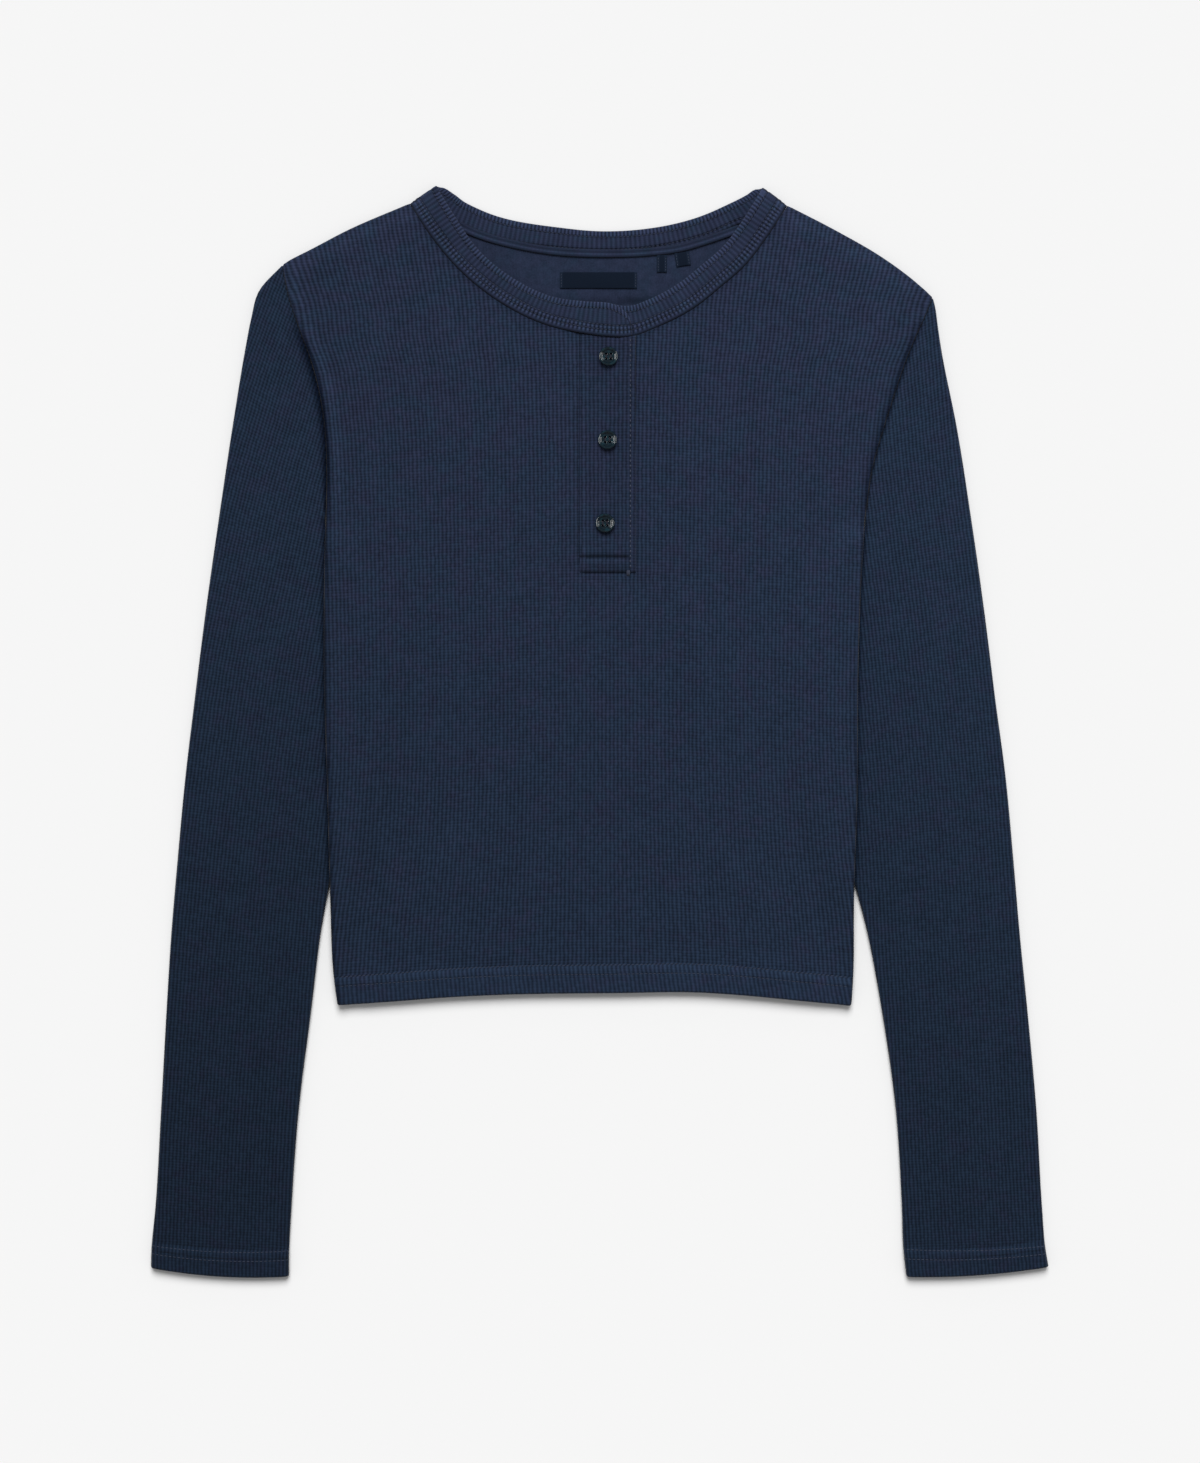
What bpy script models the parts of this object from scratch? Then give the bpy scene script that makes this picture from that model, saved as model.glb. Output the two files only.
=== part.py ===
"""Cropped thermal top with a buttoned neck placket, laid flat on a table, front side up.

The top lies on the plane z = 0 with its neck towards +Y. The wearer's right is at -X and the
wearer's left at +X. Every cloth piece is a wall of real thickness: the back lies on the table,
the front lies on the back, and the sleeves are flattened tubes whose inner edges are tucked
under the body. Neighbouring pieces stop short of each other at their seams.
"""

from collections import namedtuple

import bmesh
import bpy
import numpy as np

MM = 0.001

# ---------------------------------------------------------------- driving dimensions, in metres
KNIT = 1.6 * MM               # wall of one layer of waffle knit
HEM_KNIT = 2.6 * MM           # wall where a hem or cuff is turned up double
AIR = 1.0 * MM                # air between the layers at a folded edge
HEM_AIR = 0.4 * MM            # air between the layers inside a hem
SEAM_GAP = 0.3 * MM           # clearance between two pieces that are sewn together
NEAR_EAR = 4.2 * MM           # distance from an ear of the neck at which its seam lies flat
STRAIGHT_HALF_WIDTH = 25.0 * MM  # half the width in which the panels' columns run straight
HALF_GAP = SEAM_GAP / 2
HEM_HEIGHT = 16.0 * MM        # from the hem's edge to its upper row of stitches
CUFF_HEIGHT = 16.5 * MM
STEP_RUN = 4.0 * MM           # length over which a hem's extra thickness runs out
LOFT = 3.0 * MM               # how far the front stands off the back over the chest
HEM_LOFT = 0.9 * MM           # the same at the hem
EDGE_RUN = 22.0 * MM          # distance from a side edge at which the front has its full loft
SHOULDER_RUN = 12.0 * MM      # the same from the shoulder line
TUCK_LIFT = 4.7 * MM          # how far a tucked sleeve holds the body off the table
TUCK_RUN = 15.0 * MM          # width over which the body comes back down beside a sleeve
TUCK_SHELF = 6.5 * MM         # width past the sleeve's edge that stays fully raised
FREE_SHELF = 2.0 * MM         # the same where the sleeve has come out from under the body
TUCK_START = 17.0 * MM        # length below the armpit over which the body rises on the sleeve
SLEEVE_LOFT = 1.7 * MM
BAND = 2.4 * MM               # wall of the bound neckband
BAND_EDGE = 1.7 * MM          # its wall at its two edges
BAND_RISE = 0.5 * MM          # its middle above the middle of the front's wall
BAND_LAP = 1.6 * MM           # extra rise of its upper end where it laps over the under end
PLACKET = 2.0 * MM            # wall of a placket strip
PLACKET_RISE = 0.7 * MM
PLACKET_LAP = 2.1 * MM        # rise where the upper placket lies on the front panel
SLIT_RIGHT = -12.0 * MM       # x of the slit's two edges in the front panel
SLIT_LEFT = 18.0 * MM
SLIT_FOOT = 100.5 * MM        # y of the slit's foot
PLACKET_FREE_EDGE = 21.4 * MM
PLACKET_FOOT = 95.4 * MM
PLACKET_GROOVE = 105.3 * MM   # y of the stitched groove above the foot
BOX_GROOVE_DEPTH = 0.5 * MM
FACING = 1.0 * MM             # wall of the smooth jersey facing, tape and labels
FACING_HALF_WIDTH = 94.0 * MM
FACING_DEPTH = 54.0 * MM
BUTTON_RADIUS = 5.7 * MM
BUTTON_THICKNESS = 2.6 * MM
BUTTON_HOLE_RADIUS = 0.8 * MM
BUTTON_HOLE_SPACING = 2.7 * MM

# ---------------------------------------------------------------- mesh density
SIDE_ROWS = 9                 # rows of the panels between hem and armpit
ARMHOLE_ROWS = 10             # rows of the panels and columns of the sleeves along the armhole
FOLD_STEPS = 2                # steps round a folded edge
SLEEVE_STATIONS = 15
FRONT_NECK_STEPS = 9          # steps of the front neck seam on each side of the slit
BACK_NECK_STEPS = 12
FINE = 500                    # samples used to measure along a curve
BUTTON_SIDES = 20
BUTTON_PHASE = 0.37           # turn of a button's facets, so that none of their edges meets a hole's axis

# ---------------------------------------------------------------- short tables, in millimetres
Pair = namedtuple("Pair", "place right_x right_y left_x left_y")
Spot = namedtuple("Spot", "place x y")
Band = namedtuple("Band", "place seam_x seam_y edge_x edge_y")
Cuff = namedtuple("Cuff", "place outer_x outer_y inner_x inner_y crown")
Fold = namedtuple("Fold", "place x y angle length width height")
Slab = namedtuple("Slab", "name x y angle width length")

SIDE = (
    Pair("hem corner", -157.2, -163.2, 150.6, -163.5),
    Pair("hem stitches", -159.3, -148.0, 151.6, -148.0),
    Pair("high hip", -161.4, -100.0, 152.0, -100.0),
    Pair("waist", -163.0, -40.0, 153.9, -40.0),
    Pair("ribs", -165.2, 40.0, 154.6, 40.0),
    Pair("under the arm", -165.0, 92.0, 156.4, 92.0),
    Pair("armpit", -164.4, 126.9, 158.7, 126.9),
)
ARMHOLE = (
    Pair("armpit", -164.4, 126.9, 158.7, 126.9),
    Pair("lower curve", -163.8, 157.0, 163.2, 157.0),
    Pair("chest", -164.6, 178.0, 168.9, 178.0),
    Pair("front notch", -167.4, 199.0, 175.6, 199.0),
    Pair("upper curve", -173.6, 223.0, 183.0, 221.0),
    Pair("cap", -182.0, 246.0, 190.4, 239.0),
    Pair("cap top", -188.0, 266.0, 195.6, 250.5),
    Pair("shoulder tip", -190.2, 279.9, 199.5, 260.1),
)
SHOULDER = (
    Pair("shoulder tip", -190.2, 279.9, 199.5, 260.1),
    Pair("shoulder bone", -182.4, 284.3, 187.2, 271.0),
    Pair("outer shoulder", -172.0, 289.6, 170.0, 283.6),
    Pair("mid shoulder", -153.0, 299.6, 142.2, 299.8),
    Pair("neck", -114.0, 316.5, 112.2, 315.3),
)
HEM = (
    Spot("right corner", -157.2, -163.2),
    Spot("right hip", -123.0, -159.9),
    Spot("right groin", -93.0, -157.5),
    Spot("right of middle", -63.0, -155.7),
    Spot("middle", 12.0, -154.6),
    Spot("left of middle", 57.0, -154.8),
    Spot("left groin", 87.0, -156.6),
    Spot("left hip", 117.0, -159.3),
    Spot("left corner", 150.6, -163.5),
)
FRONT_NECK = (
    Band("right ear", -114.0, 316.5, -98.4, 327.3),
    Band("right shoulder", -102.0, 297.9, -87.0, 308.4),
    Band("right upper curve", -82.2, 274.5, -70.8, 286.2),
    Band("right curve", -60.0, 257.1, -51.0, 270.6),
    Band("right lower curve", -36.0, 244.8, -30.0, 260.6),
    Band("right of the placket", -12.0, 238.5, -9.0, 257.2),
    Band("middle", 3.0, 236.4, 3.6, 256.4),
    Band("left of the placket", 18.0, 236.3, 16.2, 254.7),
    Band("left lower curve", 34.2, 242.1, 27.6, 257.8),
    Band("left curve", 57.0, 254.1, 47.4, 268.3),
    Band("left upper curve", 72.0, 266.1, 61.2, 279.4),
    Band("left steep", 85.8, 278.1, 73.2, 289.8),
    Band("left shoulder", 99.0, 294.9, 84.6, 304.8),
    Band("left ear", 112.2, 315.3, 97.8, 326.1),
)
BACK_NECK = (
    Band("right ear", -114.0, 316.5, -98.4, 327.3),
    Band("right turn", -111.3, 312.4, -93.6, 325.9),
    Band("right shoulder", -103.2, 308.0, -87.6, 322.2),
    Band("right slope", -86.4, 301.5, -80.0, 316.8),
    Band("right curve", -69.0, 294.9, -65.0, 310.1),
    Band("right of middle", -24.0, 287.4, -22.0, 301.9),
    Band("middle", 0.0, 286.2, 0.0, 300.0),
    Band("left of middle", 24.0, 287.1, 22.8, 300.9),
    Band("left curve", 66.0, 296.6, 61.0, 309.2),
    Band("left slope", 84.0, 304.5, 77.0, 316.2),
    Band("left shoulder", 101.4, 309.4, 88.2, 321.9),
    Band("left turn", 109.7, 311.6, 93.2, 325.0),
    Band("left ear", 112.2, 315.3, 97.8, 326.1),
)
NECK_TAPE = (
    Band("right end", -87.0, 309.5, -80.0, 298.5),
    Band("right slope", -70.2, 299.2, -67.8, 293.6),
    Band("right curve", -34.2, 291.9, -34.2, 286.9),
    Band("middle", 0.0, 289.3, 0.0, 284.1),
    Band("left curve", 39.0, 291.0, 39.0, 286.6),
    Band("left slope", 66.0, 301.0, 66.0, 293.8),
    Band("left end", 81.0, 308.5, 77.5, 297.5),
)
SLEEVE_RIGHT = (
    Cuff("cuff edge", -269.1, -321.3, -186.3, -326.4, 1.00),
    Cuff("cuff stitches", -268.8, -310.0, -186.3, -313.5, 1.00),
    Cuff("wrist", -266.4, -284.1, -184.8, -284.1, 1.00),
    Cuff("forearm", -263.1, -227.1, -180.6, -227.1, 1.00),
    Cuff("below the elbow", -259.8, -167.1, -173.1, -167.1, 1.00),
    Cuff("elbow", -256.8, -119.1, -167.1, -119.1, 0.95),
    Cuff("above the elbow", -253.2, -77.1, -160.2, -83.1, 0.85),
    Cuff("low upper arm", -248.4, -26.1, -148.8, -35.1, 0.75),
    Cuff("upper arm", -243.0, 18.9, -141.6, 6.9, 0.72),
    Cuff("high upper arm", -236.4, 71.7, -142.8, 51.9, 0.72),
    Cuff("under the arm", -228.6, 126.9, -154.2, 87.9, 0.80),
    Cuff("armpit tuck", -219.6, 186.9, -164.9, 110.1, 0.90),
    Cuff("lower cap", -212.7, 228.9, -164.8, 117.5, 0.95),
    Cuff("cap", -209.0, 248.0, -164.7, 121.0, 1.00),
    Cuff("cap curve", -204.8, 263.4, -164.7, 124.5, 1.00),
    Cuff("shoulder tip", -190.2, 279.9, -164.4, 126.9, 1.00),
)
SLEEVE_LEFT = (
    Cuff("cuff edge", 268.8, -320.7, 183.6, -326.7, 1.00),
    Cuff("cuff stitches", 267.0, -310.0, 182.0, -312.3, 1.00),
    Cuff("wrist", 264.9, -284.1, 180.9, -284.1, 1.00),
    Cuff("forearm", 261.6, -227.1, 177.3, -227.1, 1.00),
    Cuff("below the elbow", 256.2, -167.1, 168.9, -167.1, 1.00),
    Cuff("elbow", 251.4, -119.1, 159.9, -119.1, 0.95),
    Cuff("above the elbow", 247.8, -77.1, 150.0, -81.9, 0.85),
    Cuff("low upper arm", 243.0, -26.1, 139.2, -35.1, 0.75),
    Cuff("upper arm", 237.0, 18.9, 133.2, 6.9, 0.72),
    Cuff("high upper arm", 230.4, 71.7, 135.6, 51.9, 0.72),
    Cuff("under the arm", 222.6, 126.9, 147.6, 87.9, 0.80),
    Cuff("armpit tuck", 213.0, 186.9, 157.9, 111.3, 0.90),
    Cuff("lower cap", 204.6, 228.9, 158.6, 118.0, 0.95),
    Cuff("cap", 202.2, 245.0, 158.8, 121.5, 1.00),
    Cuff("cap curve", 201.0, 254.0, 158.9, 124.5, 1.00),
    Cuff("shoulder tip", 199.5, 260.1, 158.7, 126.9, 1.00),
)
CUFF_BULGE = {"sleeve_right": 2.6, "sleeve_left": 2.0}
FOLDS = (  # soft ridges, or troughs where the height is negative, each fading out from its middle
    Fold("from the placket to the left hip", 62.0, 42.0, -68.0, 62.0, 17.0, 0.9),
    Fold("from the placket to the right hip", -62.0, 26.0, 52.0, 58.0, 16.0, 0.8),
    Fold("across the right waist", -92.0, -82.0, 38.0, 60.0, 14.0, 0.7),
    Fold("down the left side", 112.0, -62.0, -78.0, 60.0, 15.0, -0.6),
    Fold("below the right armhole", -118.0, 96.0, -64.0, 42.0, 14.0, 0.6),
    Fold("above the hem", 66.0, -130.0, 4.0, 48.0, 9.0, -0.5),
)
BUTTONS = (
    Spot("button_1", 5.1, 224.1),
    Spot("button_2", 4.5, 174.3),
    Spot("button_3", 3.0, 124.5),
)
LABELS = (
    Slab("neck_label", -0.9, 270.3, 0.0, 46.2, 9.7),
    Slab("fit_tab", 37.1, 280.3, 0.0, 6.0, 10.4),
    Slab("size_tab", 49.5, 283.0, 9.0, 8.7, 8.2),
)


# ---------------------------------------------------------------- curves
def smoothstep(low, high, value):
    """0 below low, 1 above high, with a smooth S between them."""
    part = np.clip((np.asarray(value, dtype=float) - low) / (high - low), 0.0, 1.0)
    return part * part * (3.0 - 2.0 * part)


def hermite(knots, values, at):
    """A cubic through values at the given knots, with each slope taken from its neighbours."""
    knots = np.asarray(knots, dtype=float)
    values = np.asarray(values, dtype=float).reshape(len(knots), -1)
    spans = np.diff(knots)[:, None]
    chords = np.diff(values, axis=0) / spans
    slopes = np.empty_like(values)
    slopes[0], slopes[-1] = chords[0], chords[-1]
    slopes[1:-1] = (chords[:-1] * spans[1:] + chords[1:] * spans[:-1]) / (spans[:-1] + spans[1:])
    at = np.atleast_1d(np.asarray(at, dtype=float))
    cell = np.clip(np.searchsorted(knots, at, side="right") - 1, 0, len(knots) - 2)
    span = spans[cell]
    part = ((at - knots[cell])[:, None]) / span
    start, end = values[cell], values[cell + 1]
    rise, fall = slopes[cell] * span, slopes[cell + 1] * span
    return (
        (2 * part**3 - 3 * part**2 + 1) * start
        + (part**3 - 2 * part**2 + part) * rise
        + (3 * part**2 - 2 * part**3) * end
        + (part**3 - part**2) * fall
    )


def columns(rows, *names):
    """The named columns of a table, in metres, as an array with one row each."""
    return np.array([[getattr(row, name) * MM for name in names] for row in rows])


class Path:
    """A smooth plan curve through points; its parameter runs from 0 to 1 with the chord length."""

    def __init__(self, points, knots=None):
        self.points = np.asarray(points, dtype=float)
        if knots is None:
            steps = np.linalg.norm(np.diff(self.points, axis=0), axis=1)
            knots = np.concatenate([[0.0], np.cumsum(steps)])
        self.knots = knots / knots[-1]

    def at(self, share):
        return hermite(self.knots, self.points, share)

    def normal(self, share, outward):
        """Unit normals, turned to the side on which `outward`, a plan direction, lies."""
        small = 0.002
        share = np.atleast_1d(share)
        run = self.at(np.clip(share + small, 0, 1)) - self.at(np.clip(share - small, 0, 1))
        side = np.stack([-run[:, 1], run[:, 0]], axis=1)
        side /= np.linalg.norm(side, axis=1)[:, None]
        return side * np.sign(side @ np.asarray(outward, dtype=float))[:, None]

    def value(self, at, known=0, wanted=1):
        """The wanted coordinate where the known one, which must rise or fall all along, is `at`."""
        line = self.at(np.linspace(0.0, 1.0, FINE))
        order = np.argsort(line[:, known])
        return np.interp(at, line[order, known], line[order, wanted])


SIDE_PATHS = {
    -1: Path(columns(SIDE, "right_x", "right_y")),
    1: Path(columns(SIDE, "left_x", "left_y")),
}
ARMHOLE_PATHS = {
    -1: Path(columns(ARMHOLE, "right_x", "right_y")),
    1: Path(columns(ARMHOLE, "left_x", "left_y")),
}
SHOULDER_PATHS = {
    -1: Path(columns(SHOULDER, "right_x", "right_y")),
    1: Path(columns(SHOULDER, "left_x", "left_y")),
}
HEM_PATH = Path(columns(HEM, "x", "y"))
SLEEVE_TABLES = {-1: SLEEVE_RIGHT, 1: SLEEVE_LEFT}


def sleeve_paths(table):
    """The sleeve's outer and inner edges, which share their knots, and the crown's width."""
    outer = columns(table, "outer_x", "outer_y")
    inner = columns(table, "inner_x", "inner_y")
    steps = np.linalg.norm(np.diff(outer, axis=0), axis=1) + np.linalg.norm(np.diff(inner, axis=0), axis=1)
    knots = np.concatenate([[0.0], np.cumsum(steps)])
    crown = Path(np.array([[row.crown, 0.0] for row in table]), knots)
    return Path(outer, knots), Path(inner, knots), crown


SLEEVE_PATHS = {side: sleeve_paths(table) for side, table in SLEEVE_TABLES.items()}


# ---------------------------------------------------------------- heights of the cloth
def side_x(side, y):
    """x of the body's edge on one side at a height y, along the side seam and the armhole."""
    low = SIDE_PATHS[side].value(y, known=1, wanted=0)
    high = ARMHOLE_PATHS[side].value(y, known=1, wanted=0)
    return np.where(y < ARMHOLE[0].right_y * MM, low, high)


def tuck_height(x, y):
    """How far the tucked sleeves hold the body off the table."""
    total = np.zeros_like(x)
    armpit = ARMHOLE[0].right_y * MM
    started = smoothstep(0.0, TUCK_START, armpit - y)
    shelf = FREE_SHELF + (TUCK_SHELF - FREE_SHELF) * smoothstep(-105.0 * MM, -65.0 * MM, y)
    for side in (-1, 1):
        inner = SLEEVE_PATHS[side][1]
        edge = inner.value(y, known=1, wanted=0)
        clear = (edge - x) * side
        total = np.maximum(total, started * (1.0 - smoothstep(0.0, TUCK_RUN, clear - shelf)))
    return total * TUCK_LIFT


def fold_height(x, y):
    """The largest soft folds of the front, away from the placket and the edges."""
    total = np.zeros_like(x)
    for fold in FOLDS:
        turn = np.radians(fold.angle)
        east, north = x - fold.x * MM, y - fold.y * MM
        along = (east * np.cos(turn) + north * np.sin(turn)) / (fold.length * MM)
        across = (north * np.cos(turn) - east * np.sin(turn)) / (fold.width * MM)
        total = total + fold.height * MM * np.exp(-along**2 - across**2)
    beside = smoothstep(30.0 * MM, 55.0 * MM, np.abs(x - 3.0 * MM))
    below = smoothstep(10.0 * MM, 35.0 * MM, PLACKET_FOOT - y)
    return total * np.maximum(beside, below)


def edge_share(x, y):
    """0 at the body's side and shoulder edges and 1 well inside them."""
    right = smoothstep(0.0, EDGE_RUN, x - side_x(-1, y))
    left = smoothstep(0.0, EDGE_RUN, side_x(1, y) - x)
    ridge = np.concatenate([SHOULDER_PATHS[-1].at(np.linspace(0, 1, FINE)),
                            SHOULDER_PATHS[1].at(np.linspace(1, 0, FINE))])
    below = np.interp(x, ridge[:, 0], ridge[:, 1]) - y
    return right * left * smoothstep(0.0, SHOULDER_RUN, below)


def hem_share(rise):
    """1 inside the turned hem and 0 above it; rise is the height above the hem's edge."""
    return 1.0 - smoothstep(HEM_HEIGHT - STEP_RUN / 2, HEM_HEIGHT + STEP_RUN / 2, rise)


def hem_rise(x, y):
    return y - HEM_PATH.value(x)


def knit_wall(x, y):
    return KNIT + (HEM_KNIT - KNIT) * hem_share(hem_rise(x, y))


def back_middle(x, y):
    """z of the middle of the back panel's wall."""
    return tuck_height(x, y) + knit_wall(x, y) / 2


def front_middle(x, y):
    """z of the middle of the front panel's wall."""
    hem = hem_share(hem_rise(x, y))
    air = AIR + (HEM_AIR - AIR) * hem
    chest = smoothstep(-140.0 * MM, 60.0 * MM, y)
    loft = (HEM_LOFT + (LOFT - HEM_LOFT) * chest + fold_height(x, y)) * edge_share(x, y)
    return tuck_height(x, y) + knit_wall(x, y) * 1.5 + air + loft


# ---------------------------------------------------------------- mesh helpers
def material(name, colour, roughness, sheen=0.0):
    made = bpy.data.materials.new(name)
    made.use_nodes = True
    shader = made.node_tree.nodes["Principled BSDF"]
    shader.inputs["Base Color"].default_value = (*colour, 1.0)
    shader.inputs["Roughness"].default_value = roughness
    shader.inputs["Metallic"].default_value = 0.0
    shader.inputs["Sheen Weight"].default_value = sheen
    made.diffuse_color = (*colour, 1.0)
    return made


def add_object(name, points, faces, look):
    mesh = bpy.data.meshes.new(name)
    mesh.from_pydata([tuple(point) for point in points], [], faces)
    mesh.materials.append(look)
    work = bmesh.new()
    work.from_mesh(mesh)
    bmesh.ops.recalc_face_normals(work, faces=work.faces)
    bmesh.ops.triangulate(work, faces=work.faces)
    work.to_mesh(mesh)
    work.free()
    mesh.shade_smooth()
    mesh.set_sharp_from_angle(angle=np.radians(40))
    made = bpy.data.objects.new(name, mesh)
    bpy.context.collection.objects.link(made)
    return made


def grid_solid(name, middle, outward, wall, look, kept=None):
    """A closed wall round a grid of middle points, each moved half the wall out and half in.

    `kept` marks the grid's cells that exist; a side face is set along every edge of the kept area.
    """
    rows, cols = middle.shape[:2]
    half = (outward * wall[..., None] / 2)
    points = np.concatenate([(middle + half).reshape(-1, 3), (middle - half).reshape(-1, 3)])
    if kept is None:
        kept = np.ones((rows - 1, cols - 1), dtype=bool)
    under = rows * cols
    faces = []

    def present(row, col):
        return 0 <= row < rows - 1 and 0 <= col < cols - 1 and kept[row, col]

    def side_face(first, second):
        faces.append((second, first, first + under, second + under))

    for row in range(rows - 1):
        for col in range(cols - 1):
            if not kept[row, col]:
                continue
            corner = row * cols + col
            ring = (corner, corner + 1, corner + cols + 1, corner + cols)
            faces.append(ring)
            faces.append(tuple(point + under for point in reversed(ring)))
            for step, (down, across) in enumerate(((-1, 0), (0, 1), (1, 0), (0, -1))):
                if not present(row + down, col + across):
                    side_face(ring[step], ring[(step + 1) % 4])
    used = sorted({point for face in faces for point in face})
    renumber = {point: place for place, point in enumerate(used)}
    faces = [tuple(renumber[point] for point in face) for face in faces]
    return add_object(name, points[used], faces, look)


def raised(plan, height):
    """Plan points with their heights, as one array of points."""
    return np.concatenate([plan, np.asarray(height)[..., None]], axis=-1)


# ---------------------------------------------------------------- front and back panels
def bend(angle, length, steps):
    """Reach and drop along a strip of the given length that bends evenly through an angle."""
    turned = angle * steps
    safe = np.where(np.abs(angle) < 1e-6, 1e-6, angle)
    reach = np.where(np.abs(angle) < 1e-6, length * steps, length / safe * np.sin(turned))
    drop = np.where(np.abs(angle) < 1e-6, 0.0, length / safe * (1.0 - np.cos(turned)))
    return reach, drop, turned


def fold_strip(plan, outward, angle, radius, first_height, sign):
    """The rounded strip beside an edge: plan points, heights and wall directions, step by step."""
    length = radius * np.pi / 2
    steps = np.arange(1, FOLD_STEPS + 1) / FOLD_STEPS
    reach, drop, turned = bend(angle[:, None], length[:, None], steps[None, :])
    points = plan[:, None, :] + outward[:, None, :] * reach[..., None]
    height = first_height[:, None] - sign * drop
    flat = outward / np.linalg.norm(outward, axis=1)[:, None]
    lean = np.concatenate([flat[:, None, :] * np.sin(turned)[..., None],
                           sign * np.cos(turned)[..., None]], axis=-1)
    return points, height, lean


def edge_inset(angle, radius, wall):
    """How far inside its outline an edge's rounded strip starts."""
    reach, _, _ = bend(angle, radius * np.pi / 2, np.ones_like(angle))
    return reach + wall / 2 * np.sin(angle) + HALF_GAP * np.cos(angle)


FRONT_SEAM = Path(columns(FRONT_NECK, "seam_x", "seam_y"))
BACK_SEAM = Path(columns(BACK_NECK, "seam_x", "seam_y"))


def path_length(path):
    line = path.at(np.linspace(0, 1, FINE))
    return np.linalg.norm(np.diff(line, axis=0), axis=1).sum()


def share_at_x(path, x):
    shares = np.linspace(0, 1, FINE)
    return float(np.interp(x, path.at(shares)[:, 0], shares))


def front_seam_shares():
    """Shares of the front neck seam at which the panel, the band and the placket have points."""
    near = NEAR_EAR / path_length(FRONT_SEAM)
    first, last = share_at_x(FRONT_SEAM, SLIT_RIGHT), share_at_x(FRONT_SEAM, SLIT_LEFT)
    right = np.linspace(near, first, FRONT_NECK_STEPS + 1)
    left = np.linspace(last, 1.0 - near, FRONT_NECK_STEPS + 1)
    middle = [(first + last) / 2]
    return np.concatenate([[0.0], right, middle, left, [1.0]])


def back_seam_shares():
    near = NEAR_EAR / path_length(BACK_SEAM)
    return np.concatenate([[0.0], np.linspace(near, 1.0 - near, BACK_NECK_STEPS + 1), [1.0]])


def miter(first, second):
    """The vector that is one unit along both of two unit normals."""
    return (first + second) / (1.0 + first @ second)


def panel_rows():
    """Share of the panel's height at each row, and the side outlines' points and bends there."""
    middle = (SLIT_RIGHT + SLIT_LEFT) / 2
    hem_y, neck_y = HEM_PATH.value(middle), FRONT_SEAM.value(middle)
    foot_share = (SLIT_FOOT - hem_y) / (neck_y - hem_y)
    step = STEP_RUN / 2
    side_length = path_length(SIDE_PATHS[-1])
    hem_steps = np.array([0.0, HEM_HEIGHT / 2, HEM_HEIGHT - step, HEM_HEIGHT + step]) / side_length
    raised_share = 1.0 - TUCK_START / side_length
    side = np.concatenate([hem_steps[:-1], np.linspace(hem_steps[-1], raised_share, SIDE_ROWS), [1.0]])
    arm = np.linspace(0.0, 1.0, ARMHOLE_ROWS + 1)[1:]
    shares = np.concatenate([side * foot_share, foot_share + (1.0 - foot_share) * arm])
    quarter = np.pi / 2
    bends = np.concatenate([np.full(len(side) - 1, quarter), [quarter / 2], np.zeros(ARMHOLE_ROWS)])
    outlines, normals = {}, {}
    for which in (-1, 1):
        outlines[which] = np.concatenate([SIDE_PATHS[which].at(side), ARMHOLE_PATHS[which].at(arm)])
        normals[which] = np.concatenate([SIDE_PATHS[which].normal(side, (which, 0.0)),
                                         ARMHOLE_PATHS[which].normal(arm, (which, 0.2))])
    return shares, len(side) - 1, bends, outlines, normals


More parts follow.
